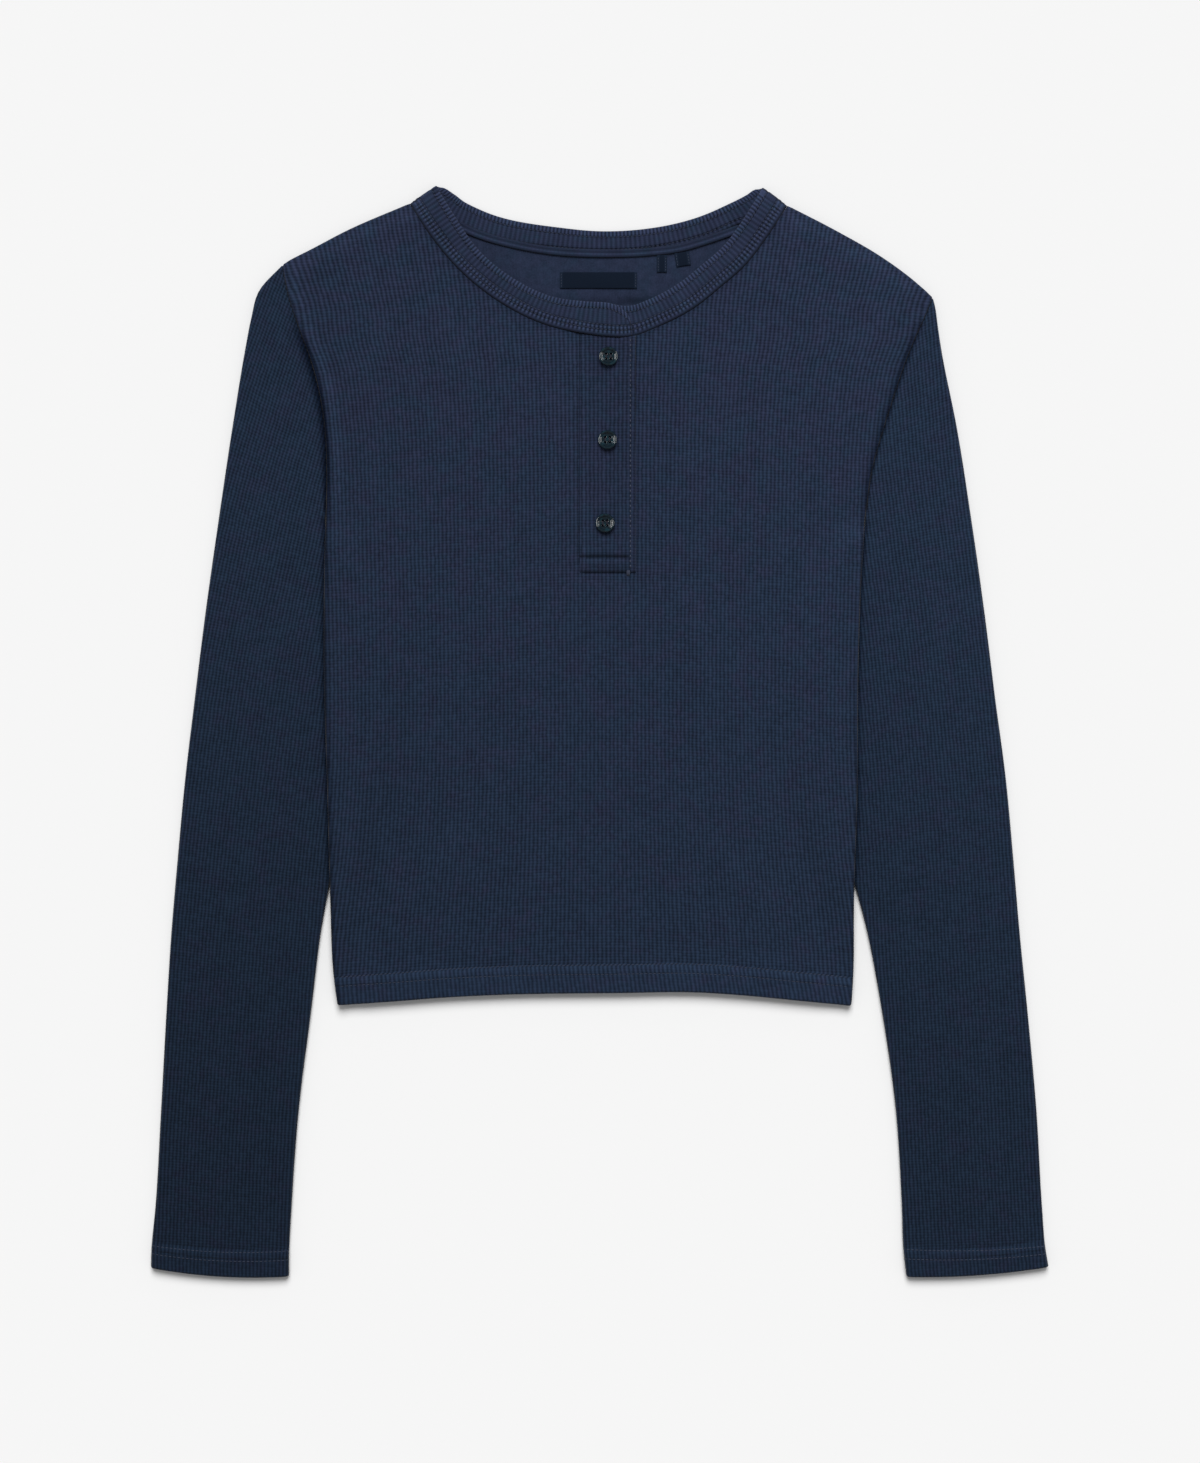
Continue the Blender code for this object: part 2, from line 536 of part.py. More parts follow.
def panel(name, look, neck_path, neck_shares, sign, middle_height):
    """One body panel: sign is 1 for the front, whose edges curl down, and -1 for the back.

    The flat part is a patch blended between hem, sides, shoulders and neck seam. Rounded strips
    run along the sides and the shoulders; along the armholes and the neck they lie flat.
    """
    shares, armpit_row, bends, outlines, normals = panel_rows()
    quarter = np.pi / 2

    shoulder_steps = np.array([0.0, 0.1, 0.3, 0.55, 0.8, 1.0])
    east = SHOULDER_PATHS[1].at(shoulder_steps[::-1])
    west = SHOULDER_PATHS[-1].at(shoulder_steps)
    neck = neck_path.at(neck_shares)
    top = np.concatenate([west[:-1], neck, east[1:]])
    first_ear, last_ear = len(west) - 1, len(west) - 1 + len(neck) - 1
    top_bend = np.zeros(len(top))
    top_bend[:first_ear + 1] = quarter
    top_bend[last_ear:] = quarter
    west_normal = SHOULDER_PATHS[-1].normal(shoulder_steps, (-0.4, 1.0))
    east_normal = SHOULDER_PATHS[1].normal(shoulder_steps[::-1], (0.4, 1.0))
    neck_normal = neck_path.normal(neck_shares, (0.0, 1.0))
    neck_normal[0] = neck_path.normal([0.0], (1.0, 0.5))[0]
    neck_normal[-1] = neck_path.normal([1.0], (-1.0, 0.5))[0]
    top_out = np.concatenate([west_normal[:-1], neck_normal, east_normal[1:]])
    top_out[first_ear] = miter(west_normal[-1], neck_normal[0])
    top_out[last_ear] = miter(east_normal[0], neck_normal[-1])

    edge_wall = knit_wall(top[:, 0], top[:, 1])
    fold_radius = (KNIT + AIR) / 2 - HALF_GAP
    top_radius = np.full(len(top), fold_radius)
    row_wall = knit_wall(outlines[-1][:, 0], outlines[-1][:, 1])
    row_air = AIR + (HEM_AIR - AIR) * hem_share(hem_rise(outlines[-1][:, 0], outlines[-1][:, 1]))
    row_radius = (row_wall + row_air) / 2 - HALF_GAP

    top_inset = edge_inset(top_bend, top_radius, edge_wall)
    patch_top = top - top_out * top_inset[:, None]
    side_out = {}
    patch_side = {}
    for which, corner in ((-1, 0), (1, len(top) - 1)):
        out = normals[which].copy()
        inset = edge_inset(bends, row_radius, row_wall)
        line = outlines[which] - out * inset[:, None]
        arm_out, top_normal = out[-1], top_out[corner]
        along_arm = np.array([-arm_out[1], arm_out[0]])
        along_top = np.array([-top_normal[1], top_normal[0]])
        up_arm = along_arm / (along_arm @ top_normal)
        out_top = along_top / (along_top @ arm_out)
        line[-1] = outlines[which][-1] - up_arm * top_inset[corner] - out_top * inset[-1]
        patch_top[corner] = line[-1]
        top_out[corner] = up_arm
        out[-1] = out_top
        side_out[which], patch_side[which] = out, line

    spread = np.maximum(np.abs(patch_top[:, 0]) - STRAIGHT_HALF_WIDTH, 0.0)
    widest = np.where(patch_top[:, 0] < 0, spread[0], spread[-1])
    corner_x = np.where(patch_top[:, 0] < 0, patch_side[-1][0, 0], patch_side[1][0, 0])
    corner_top = np.where(patch_top[:, 0] < 0, patch_top[0, 0], patch_top[-1, 0])
    hem_x = patch_top[:, 0] + (corner_x - corner_top) * (spread / widest) ** 2
    hem = np.stack([hem_x, HEM_PATH.value(hem_x)], axis=1)
    hem[0], hem[-1] = patch_side[-1][0], patch_side[1][0]

    plan = (1.0 - shares)[:, None, None] * hem[None] + shares[:, None, None] * patch_top[None]
    for which, corner in ((-1, 0), (1, len(top) - 1)):
        chord = (1.0 - shares)[:, None] * hem[corner] + shares[:, None] * patch_top[corner]
        curved = abs(hem_x[corner]) - STRAIGHT_HALF_WIDTH
        pull = 1.0 - smoothstep(0.0, 1.0, np.abs(hem_x - hem_x[corner]) / curved)
        plan = plan + (patch_side[which] - chord)[:, None, :] * pull[None, :, None]
    height = middle_height(plan[..., 0], plan[..., 1])
    upright = np.zeros(plan.shape[:2] + (3,))
    upright[..., 2] = sign
    wall = knit_wall(plan[..., 0], plan[..., 1])

    rows, cols = plan.shape[:2]
    extra = FOLD_STEPS
    full_plan = np.zeros((rows + extra, cols + 2 * extra, 2))
    full_height = np.zeros((rows + extra, cols + 2 * extra))
    full_lean = np.zeros((rows + extra, cols + 2 * extra, 3))
    full_wall = np.zeros((rows + extra, cols + 2 * extra))
    inner = (slice(0, rows), slice(extra, extra + cols))
    full_plan[inner], full_height[inner], full_lean[inner], full_wall[inner] = plan, height, upright, wall

    top_strip = fold_strip(patch_top, top_out, top_bend, top_radius, height[-1], sign)
    above = (slice(rows, rows + extra), slice(extra, extra + cols))
    full_plan[above] = top_strip[0].transpose(1, 0, 2)
    full_height[above] = top_strip[1].T
    full_lean[above] = top_strip[2].transpose(1, 0, 2)
    full_wall[above] = wall[-1][None, :]

    for which, corner in ((-1, 0), (1, cols - 1)):
        strip = fold_strip(patch_side[which], side_out[which], bends, row_radius, height[:, corner], sign)
        order = np.arange(extra)[::-1] if which < 0 else np.arange(extra)
        beside = slice(0, extra) if which < 0 else slice(extra + cols, extra + cols + extra)
        full_plan[:rows, beside] = strip[0][:, order]
        full_height[:rows, beside] = strip[1][:, order]
        full_lean[:rows, beside] = strip[2][:, order]
        full_wall[:rows, beside] = wall[:, corner][:, None]
        corner_col = extra + corner
        reach = strip[0][-1][order] - patch_side[which][-1]
        full_plan[rows:, beside] = full_plan[rows:, corner_col][:, None, :] + reach[None, :, :]
        full_height[rows:, beside] = full_height[rows:, corner_col][:, None]
        full_lean[rows:, beside] = full_lean[rows:, corner_col][:, None, :]
        full_wall[rows:, beside] = wall[-1, corner]

    kept = np.ones((rows + extra - 1, cols + 2 * extra - 1), dtype=bool)
    if sign > 0:
        slit_right = extra + first_ear + 1 + FRONT_NECK_STEPS
        kept[armpit_row:, slit_right:slit_right + 2] = False
    return grid_solid(name, raised(full_plan, full_height), full_lean, full_wall, look, kept)


# ---------------------------------------------------------------- sleeves
def sleeve(name, side, look):
    """A flattened tube from the cuff to the armhole, turned up double at the cuff.

    Each ring is cut along a line from the outer to the inner edge. Towards the body the rings
    swing round and take the armhole's curve, so that the last ring lies along the seam.
    """
    outer, inner, crown = SLEEVE_PATHS[side]
    armhole = ARMHOLE_PATHS[side]
    across = np.linspace(0.0, 1.0, ARMHOLE_ROWS + 1)
    run = path_length(outer)
    low, high = (CUFF_HEIGHT - STEP_RUN / 2) / run, (CUFF_HEIGHT + STEP_RUN / 2) / run
    stations = np.concatenate([[0.0, low / 2, low, high], np.linspace(high, 1.0, SLEEVE_STATIONS)[1:]])
    near_cap = outer.knots[-6]
    seam = armhole.at(1.0 - across) + armhole.normal(1.0 - across, (side, 0.2)) * HALF_GAP
    tip, pit = seam[0], seam[-1]
    seam_bow = seam - (tip + (pit - tip) * across[:, None])
    loops = []
    for station in stations:
        start, end = outer.at(station)[0], inner.at(station)[0]
        if station == 1.0:
            start, end = tip, pit
        swing = smoothstep(near_cap, 1.0, station) ** 2
        line = start + (end - start) * across[:, None] + seam_bow * swing
        along = np.array([-(end - start)[1], (end - start)[0]]) / np.linalg.norm(end - start)
        along = along * -np.sign(along[1])
        bulge = CUFF_BULGE[name] * MM * (1.0 - smoothstep(0.0, 0.12, station))
        line = line + along * (bulge * 4.0 * across * (1.0 - across))[:, None]

        turned_up = 1.0 - smoothstep(low, high, station)
        wall = KNIT + (HEM_KNIT - KNIT) * turned_up
        flat = 2.0 * wall + AIR + (HEM_AIR - AIR) * turned_up
        radius = flat / 2
        width = crown.at(station)[0, 0]
        calm = smoothstep(0.0, 0.10, station) * smoothstep(0.0, 0.30, 1.0 - station)
        loft = SLEEVE_LOFT * calm * np.sin(np.pi * np.clip(across / width, 0.0, 1.0)) ** 2

        out_start = (line[0] - line[1]) / np.linalg.norm(line[0] - line[1])
        out_end = (line[-1] - line[-2]) / np.linalg.norm(line[-1] - line[-2])
        line[0] = line[0] - out_start * radius
        line[-1] = line[-1] - out_end * radius
        ring = {}
        for layer, depth in (("outside", 0.0), ("inside", wall)):
            turn = np.radians([-45.0, 0.0, 45.0])
            lift = (radius + (radius - depth) * np.sin(turn))
            reach = ((radius - depth) * np.cos(turn))[:, None]
            bottom = raised(line[::-1], np.full(len(line), depth))
            first = raised(line[0] + out_start * reach, lift)
            upper = raised(line, flat + loft - depth)
            last = raised(line[-1] + out_end * reach, lift)[::-1]
            ring[layer] = np.concatenate([bottom, first, upper, last])
        loops.append(np.concatenate([ring["outside"], ring["inside"]]))

    count = len(loops[0]) // 2
    faces = []
    for level in range(len(loops) - 1):
        here, there = level * 2 * count, (level + 1) * 2 * count
        for step in range(count):
            after = (step + 1) % count
            faces.append((here + step, here + after, there + after, there + step))
            low, high = here + count, there + count
            faces.append((low + after, low + step, high + step, high + after))
    for level in (0, len(loops) - 1):
        here = level * 2 * count
        for step in range(count):
            after = (step + 1) % count
            faces.append((here + step, here + after, here + count + after, here + count + step))
    return add_object(name, np.concatenate(loops), faces, look)


# ---------------------------------------------------------------- neckband
def band_lap(x):
    """Extra rise of the band's upper end towards its free end."""
    return BAND_LAP * smoothstep(-34.0 * MM, -8.0 * MM, x)


def under_lap(x):
    """How far the band's under end lies below the plain band."""
    return (BAND + SEAM_GAP - BAND_LAP) * (1.0 - smoothstep(20.0 * MM, 46.0 * MM, x))


def ear_fold(seam, edge, outward, front_height, back_height):
    """Sections of the band round the fold at an ear: seam points, edge points, heights, lean."""
    radius = (front_height - back_height) / 2
    middle = (front_height + back_height) / 2
    inset = radius + BAND / 2
    turn = np.radians([90.0, 45.0, 0.0, -45.0, -90.0])
    shift = -inset + radius * np.cos(turn)
    seam_line = seam + outward * shift[:, None]
    edge_line = edge + outward * shift[:, None]
    height = middle + radius * np.sin(turn)
    lean = np.stack([outward[0] * np.cos(turn), outward[1] * np.cos(turn), np.sin(turn)], axis=1)
    return seam_line, edge_line, height, lean


def neckband(look):
    """One strip round the neck, from its upper end over the placket to its under end.

    It runs up the right front, folds over at the right ear, crosses the back neck, folds at the
    left ear and comes down the left front, where its end slips under the first.
    """
    seam, edge = FRONT_SEAM, Path(columns(FRONT_NECK, "edge_x", "edge_y"), FRONT_SEAM.knots)
    back_seam, back_edge = BACK_SEAM, Path(columns(BACK_NECK, "edge_x", "edge_y"), BACK_SEAM.knots)
    shares = front_seam_shares()
    slit = 1 + FRONT_NECK_STEPS
    upper_end, under_end = share_at_x(seam, 19.2 * MM), share_at_x(seam, -4.0 * MM)
    round_off = share_at_x(seam, 4.0 * MM)
    right = np.concatenate([np.linspace(upper_end, round_off, 6)[:-1], [shares[slit + 1]], shares[slit:0:-1]])
    left = np.concatenate([shares[-2:slit + 1:-1], [shares[slit + 1], under_end]])
    back = back_seam_shares()[1:-1]

    def front_part(at, lapped):
        outer, free = seam.at(at), edge.at(at)
        inward = seam.normal(at, (0.0, 1.0))
        outer = outer + inward * HALF_GAP
        if lapped:
            turn = np.clip((at - round_off) / (upper_end - round_off), 0.0, 1.0)
            cut = 0.5 * (1.0 - np.sqrt(1.0 - turn**2))
            free = free + (outer - free) * cut[:, None]
        height = front_middle(outer[:, 0], outer[:, 1]) + BAND_RISE
        height = height + (band_lap(outer[:, 0]) if lapped else -under_lap(outer[:, 0]))
        lean = np.tile([0.0, 0.0, 1.0], (len(at), 1))
        return outer, free, height, lean

    def back_part():
        outer = back_seam.at(back) + back_seam.normal(back, (0.0, 1.0)) * HALF_GAP
        lean = np.tile([0.0, 0.0, -1.0], (len(back), 1))
        return outer, back_edge.at(back), np.full(len(back), BAND / 2), lean

    def ear(which):
        row = FRONT_NECK[0] if which < 0 else FRONT_NECK[-1]
        seam_point = np.array([row.seam_x, row.seam_y]) * MM
        edge_point = np.array([row.edge_x, row.edge_y]) * MM
        across = (edge_point - seam_point) / np.linalg.norm(edge_point - seam_point)
        outward = np.array([-across[1], across[0]]) if which < 0 else np.array([across[1], -across[0]])
        seam_point = seam_point + across * HALF_GAP
        inside = seam_point - outward * (BAND + KNIT + AIR) / 2
        front_height = float(front_middle(inside[:1], inside[1:])[0]) + BAND_RISE
        return ear_fold(seam_point, edge_point, outward, front_height, BAND / 2)

    first, last = ear(-1), ear(1)
    last = tuple(part[::-1] for part in last)
    parts = [front_part(right, True), first, back_part(), last, front_part(left, False)]
    outer, free, height, lean = (np.concatenate([part[which] for part in parts]) for which in range(4))
    across = np.array([0.0, 0.3, 0.7, 1.0])
    plan = outer[None] + (free - outer)[None] * across[:, None, None]
    thick = np.array([BAND_EDGE, BAND, BAND, BAND_EDGE])
    height = np.tile(height, (4, 1))
    return grid_solid("neckband", raised(plan, height), np.tile(lean, (4, 1, 1)),
                      np.tile(thick[:, None], (1, len(outer))), look)


# ---------------------------------------------------------------- placket
def placket_rise(x, y):
    """Rise of the upper placket's middle over the front panel's middle."""
    lap = np.maximum(smoothstep(11.0 * MM, SLIT_LEFT - 0.4 * MM, x),
                     1.0 - smoothstep(SLIT_FOOT + 0.3 * MM, SLIT_FOOT + 5.0 * MM, y))
    return PLACKET_RISE + (PLACKET_LAP - PLACKET_RISE) * lap


def placket_grid(xs, foot, foot_steps, steps):
    """Plan points of a strip from its foot up to the neck seam."""
    top = FRONT_SEAM.value(xs) - SEAM_GAP
    levels = np.concatenate([foot_steps, np.linspace(foot_steps[-1], 1.0, steps + 1)[1:] if steps else []])
    ys = foot + (top - foot)[None, :] * levels[:, None]
    return np.stack([np.tile(xs, (len(levels), 1)), ys], axis=-1)


def placket_upper(look):
    xs = np.array([SLIT_RIGHT + SEAM_GAP, SLIT_RIGHT + 1.5 * MM, 3.0 * MM, 11.0 * MM, 14.5 * MM,
                   SLIT_LEFT - 0.4 * MM, PLACKET_FREE_EDGE - 1.0 * MM, PLACKET_FREE_EDGE])
    length = FRONT_SEAM.value(3.0 * MM) - PLACKET_FOOT
    groove = (PLACKET_GROOVE - PLACKET_FOOT) / length
    foot_steps = np.array([0.0, 0.008, 0.036, groove - 0.01, groove, groove + 0.01])
    plan = placket_grid(xs, PLACKET_FOOT, foot_steps, 9)
    x, y = plan[..., 0], plan[..., 1]
    height = front_middle(x, y) + placket_rise(x, y)
    wall = np.full(x.shape, PLACKET)
    wall[:, [0, -1]] = PLACKET * 0.7
    wall[0, :] = PLACKET * 0.7
    sunk = np.zeros(x.shape)
    sunk[4, 1:-1] = BOX_GROOVE_DEPTH
    wall = wall - sunk
    height = height - sunk / 2
    upright = np.zeros(plan.shape[:2] + (3,))
    upright[..., 2] = 1.0
    return grid_solid("placket_upper", raised(plan, height), upright, wall, look)


def placket_under(look):
    xs = np.array([SLIT_RIGHT + SEAM_GAP, 3.0 * MM, 11.0 * MM, 14.5 * MM, SLIT_LEFT - SEAM_GAP])
    foot = SLIT_FOOT + SEAM_GAP
    plan = placket_grid(xs, foot, np.array([0.0, 0.018, 0.036]), 8)
    x, y = plan[..., 0], plan[..., 1]
    height = front_middle(x, y) + placket_rise(x, y) - PLACKET - SEAM_GAP - HALF_GAP
    upright = np.zeros(plan.shape[:2] + (3,))
    upright[..., 2] = 1.0
    return grid_solid("placket_under", raised(plan, height), upright, np.full(x.shape, PLACKET), look)


# ---------------------------------------------------------------- inside of the back neck
def back_neck_facing(look):
    """A half moon on the back panel, from just below the back neck seam."""
    share = np.linspace(-1.0, 1.0, 17)
    x = FACING_HALF_WIDTH * np.sin(share * np.pi / 2)
    top = BACK_SEAM.value(x) - 1.0 * MM
    low = (BACK_SEAM.value(0.0) - FACING_DEPTH)
    round_edge = top[0] - 2.0 * MM + (low - top[0] + 2.0 * MM) * np.cos(share * np.pi / 2)
    levels = np.linspace(0.0, 1.0, 4)
    y = round_edge[None, :] + (top - round_edge)[None, :] * levels[:, None]
    plan = np.stack([np.tile(x, (len(levels), 1)), y], axis=-1)
    height = np.full(y.shape, KNIT + SEAM_GAP + FACING / 2)
    upright = np.zeros(plan.shape[:2] + (3,))
    upright[..., 2] = 1.0
    return grid_solid("back_neck_facing", raised(plan, height), upright, np.full(y.shape, FACING), look)


def upper_shelf():
    """z of the middle of what is sewn on the facing."""
    return KNIT + FACING * 1.5 + SEAM_GAP * 2


def neck_tape(look):
    upper = Path(columns(NECK_TAPE, "seam_x", "seam_y"))
    lower = Path(columns(NECK_TAPE, "edge_x", "edge_y"), upper.knots)
    share = np.linspace(0.0, 1.0, 17)
    levels = np.array([0.0, 0.5, 1.0])[:, None, None]
    plan = lower.at(share)[None] + (upper.at(share) - lower.at(share))[None] * levels
    upright = np.zeros(plan.shape[:2] + (3,))
    upright[..., 2] = 1.0
    height = np.full(plan.shape[:2], upper_shelf())
    return grid_solid("neck_tape", raised(plan, height), upright, np.full(plan.shape[:2], FACING), look)


def label(slab, look):
    """A flat label, a short tab being folded double at its foot; it lies on the facing."""
    turn = np.radians(slab.angle)
    across, along = np.linspace(-0.5, 0.5, 5), np.linspace(-0.5, 0.5, 3)
    x, y = np.meshgrid(across * slab.width * MM, along * slab.length * MM)
    east = slab.x * MM + x * np.cos(turn) - y * np.sin(turn)
    north = slab.y * MM + x * np.sin(turn) + y * np.cos(turn)
    plan = np.stack([east, north], axis=-1)
    upright = np.zeros(plan.shape[:2] + (3,))
    upright[..., 2] = 1.0
    height = np.full(plan.shape[:2], upper_shelf())
    return grid_solid(slab.name, raised(plan, height), upright, np.full(plan.shape[:2], FACING), look)


# ---------------------------------------------------------------- buttons
ButtonRing = namedtuple("ButtonRing", "place radius height")
BUTTON_PROFILE = (
    ButtonRing("foot", 0.62, 0.00),
    ButtonRing("lower side", 0.92, 0.22),
    ButtonRing("widest", 1.00, 0.55),
    ButtonRing("rim's outer shoulder", 0.96, 0.86),
    ButtonRing("rim's crest", 0.86, 1.00),
    ButtonRing("rim's inner shoulder", 0.74, 0.90),
    ButtonRing("well", 0.62, 0.66),
)


def button(spot, look):
    """A turned button with a raised rim and a shallow well pierced by four holes."""
    base = front_middle(np.array([spot.x * MM]), np.array([spot.y * MM]))[0]
    base = base + PLACKET_RISE + PLACKET / 2 + SEAM_GAP
    angles = (np.arange(BUTTON_SIDES) + BUTTON_PHASE) * 2 * np.pi / BUTTON_SIDES
    points = [np.array([[0.0, 0.0, 0.0]])]
    for ring in BUTTON_PROFILE:
        radius = ring.radius * BUTTON_RADIUS
        points.append(np.stack([radius * np.cos(angles), radius * np.sin(angles),
                                np.full(BUTTON_SIDES, ring.height * BUTTON_THICKNESS)], axis=1))
    points.append(np.array([[0.0, 0.0, BUTTON_PROFILE[-1].height * BUTTON_THICKNESS]]))
    points = np.concatenate(points) + np.array([spot.x * MM, spot.y * MM, base])
    faces = []
    last = len(points) - 1
    for step in range(BUTTON_SIDES):
        after = (step + 1) % BUTTON_SIDES
        faces.append((0, 1 + after, 1 + step))
        for level in range(len(BUTTON_PROFILE) - 1):
            low, high = 1 + level * BUTTON_SIDES, 1 + (level + 1) * BUTTON_SIDES
            faces.append((low + step, low + after, high + after, high + step))
        top = last - BUTTON_SIDES
        faces.append((top + step, top + after, last))
    made = add_object(spot.place, points, faces, look)
    for turn in range(4):
        angle = np.pi / 4 + turn * np.pi / 2
        reach = BUTTON_HOLE_SPACING / np.sqrt(2)
        bpy.ops.mesh.primitive_cylinder_add(
            vertices=6, radius=BUTTON_HOLE_RADIUS, depth=3 * BUTTON_THICKNESS,
            location=(spot.x * MM + reach * np.cos(angle), spot.y * MM + reach * np.sin(angle), base))
        cutter = bpy.context.object
        cutter.name = f"{spot.place}_hole_{turn}"
        cutter.hide_render = True
        cutter.display_type = "WIRE"
        cut = made.modifiers.new(cutter.name, "BOOLEAN")
        cut.operation = "DIFFERENCE"
        cut.object = cutter
    return made


# ---------------------------------------------------------------- the whole top
def build():
    for old in list(bpy.data.objects):
        bpy.data.objects.remove(old, do_unlink=True)
    body_knit = material("navy waffle knit", (0.017, 0.026, 0.048), 0.95, 0.3)
    back_knit = material("navy waffle knit, back", (0.016, 0.024, 0.044), 0.95, 0.3)
    sleeve_knit = material("navy waffle knit, sleeves", (0.013, 0.022, 0.040), 0.95, 0.3)
    band_knit = material("navy waffle knit, neckband", (0.016, 0.023, 0.045), 0.95, 0.3)
    placket_knit = material("navy waffle knit, placket", (0.020, 0.028, 0.054), 0.92, 0.3)
    jersey = material("navy single jersey", (0.023, 0.031, 0.056), 0.85, 0.2)
    woven = material("dark woven label", (0.004, 0.006, 0.014), 0.6)
    button_resin = material("dark polished button resin", (0.008, 0.016, 0.024), 0.2)

    panel("front_panel", body_knit, FRONT_SEAM, front_seam_shares(), 1, front_middle)
    panel("back_panel", back_knit, BACK_SEAM, back_seam_shares(), -1, back_middle)
    sleeve("sleeve_right", -1, sleeve_knit)
    sleeve("sleeve_left", 1, sleeve_knit)
    neckband(band_knit)
    placket_upper(placket_knit)
    placket_under(placket_knit)
    back_neck_facing(jersey)
    neck_tape(band_knit)
    for slab in LABELS:
        label(slab, woven)
    for spot in BUTTONS:
        button(spot, button_resin)


build()
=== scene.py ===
"""Thermal top with a buttoned neck placket, laid flat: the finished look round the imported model.

The file is laid out as an add-on and is run as a script. Lengths are in metres, the table is the
plane z = 0, the neck points to +Y and the wearer's right is at -X. Every cloth piece is a wall of
real thickness, worked out with numpy on a grid of two parameters.
"""

from collections import namedtuple

import bmesh
import bpy
import numpy as np
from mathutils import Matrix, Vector


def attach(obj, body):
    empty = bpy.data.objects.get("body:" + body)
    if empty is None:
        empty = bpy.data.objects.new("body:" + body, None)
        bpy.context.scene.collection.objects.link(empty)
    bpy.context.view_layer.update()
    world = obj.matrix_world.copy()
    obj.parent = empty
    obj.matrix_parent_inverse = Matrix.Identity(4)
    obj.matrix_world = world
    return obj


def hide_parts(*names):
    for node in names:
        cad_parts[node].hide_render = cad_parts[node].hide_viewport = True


bl_info = {
    "name": "Thermal top",
    "version": (1, 0, 0),
    "blender": (4, 5, 0),
    "location": "3D View > Sidebar > Thermal top",
    "description": "Builds a laid-flat waffle-knit top with a neckband, placket and buttons",
    "category": "Object",
}

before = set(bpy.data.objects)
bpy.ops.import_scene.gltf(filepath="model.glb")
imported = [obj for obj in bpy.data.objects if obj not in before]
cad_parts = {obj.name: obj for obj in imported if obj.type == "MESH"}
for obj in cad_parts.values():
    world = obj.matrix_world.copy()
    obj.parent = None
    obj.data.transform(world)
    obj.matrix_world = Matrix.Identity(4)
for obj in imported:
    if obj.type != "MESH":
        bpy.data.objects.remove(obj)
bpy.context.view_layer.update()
BODY = "root"


MM = 0.001

# --- driving dimensions, in metres
KNIT = 1.6 * MM  # wall of one layer of waffle knit
HEM_KNIT = 2.6 * MM  # wall where a hem or cuff is turned up double
AIR = 1 * MM  # air between the layers at a folded edge
HEM_AIR = 0.4 * MM  # air between the layers inside a hem
SEAM_GAP = 0.3 * MM  # clearance between two pieces that are sewn together
NEAR_EAR = 4.2 * MM  # distance from an ear of the neck at which its seam lies flat
STRAIGHT_HALF_WIDTH = 25 * MM  # half the width in which the panels' columns run straight
HALF_GAP = SEAM_GAP / 2
HEM_HEIGHT = 16 * MM  # from the hem's edge to its upper row of stitches
CUFF_HEIGHT = 16.5 * MM
STEP_RUN = 4 * MM  # length over which a hem's extra thickness runs out
LOFT = 3 * MM  # how far the front stands off the back over the chest
HEM_LOFT = 0.9 * MM  # the same at the hem
EDGE_RUN = 22 * MM  # distance from a side edge at which the front has its full loft
SHOULDER_RUN = 12 * MM  # the same from the shoulder line
TUCK_LIFT = 4.7 * MM  # how far a tucked sleeve holds the body off the table
TUCK_RUN = 24 * MM  # width over which the body comes back down beside a sleeve
TUCK_SHELF = 6.5 * MM  # width past the sleeve's edge that stays fully raised
FREE_SHELF = 2 * MM  # the same where the sleeve has come out from under the body
TUCK_START = 17 * MM  # length below the armpit over which the body rises on the sleeve
SLEEVE_LOFT = 1.7 * MM
BAND = 2.4 * MM  # wall of the bound neckband
BAND_EDGE = 1.7 * MM  # its wall at its two edges
BAND_RISE = 0.5 * MM  # its middle above the middle of the front's wall
BAND_LAP = 1.6 * MM  # extra rise of its upper end where it laps over the under end
PLACKET = 2 * MM  # wall of a placket strip
PLACKET_RISE = 0.7 * MM
PLACKET_LAP = 2.1 * MM  # rise where the upper placket lies on the front panel
SLIT_RIGHT = -12 * MM  # x of the slit's two edges in the front panel
SLIT_LEFT = 18 * MM
SLIT_FOOT = 100.5 * MM  # y of the slit's foot
PLACKET_FREE_EDGE = 21.4 * MM
PLACKET_FOOT = 95.4 * MM
PLACKET_GROOVE = 104.7 * MM  # y of the stitched groove above the foot
FACING = 1 * MM  # wall of the smooth jersey facing, tape and labels
FACING_HALF_WIDTH = 94 * MM
FACING_DEPTH = 54 * MM
BUTTON_RADIUS = 5.7 * MM
BUTTON_THICKNESS = 2.6 * MM
BUTTON_HOLE_RADIUS = 0.8 * MM
BUTTON_HOLE_SPACING = 2.7 * MM
FOLD_STEPS = 4  # steps round a folded edge
FINE = 1600  # samples used to measure along a curve

# --- short tables, in millimetres
Pair = namedtuple("Pair", "place right_x right_y left_x left_y")
Spot = namedtuple("Spot", "place x y")
Band = namedtuple("Band", "place seam_x seam_y edge_x edge_y")
Cuff = namedtuple("Cuff", "place right_outer_x right_outer_y right_inner_x right_inner_y"
                          " left_outer_x left_outer_y left_inner_x left_inner_y crown")
Fold = namedtuple("Fold", "place x y angle length width height")
Slab = namedtuple("Slab", "name x y angle width length")
# painted shadow line beside a seam: its depth, its spread on the body and on the sleeve, and the painted
# light on the roll
Line = namedtuple("Line", "depth body_spread sleeve_spread roll_light")
Grain = namedtuple("Grain", "y lean tilt")
Spread = namedtuple("Spread", "y scale")
Ring = namedtuple("Ring", "place radius height")
SIDES = (-1, 1)  # the wearer's right and left


def table(kind, *rows):
    """A short table with named columns, in millimetres and degrees."""
    return tuple(kind(*row) for row in rows)


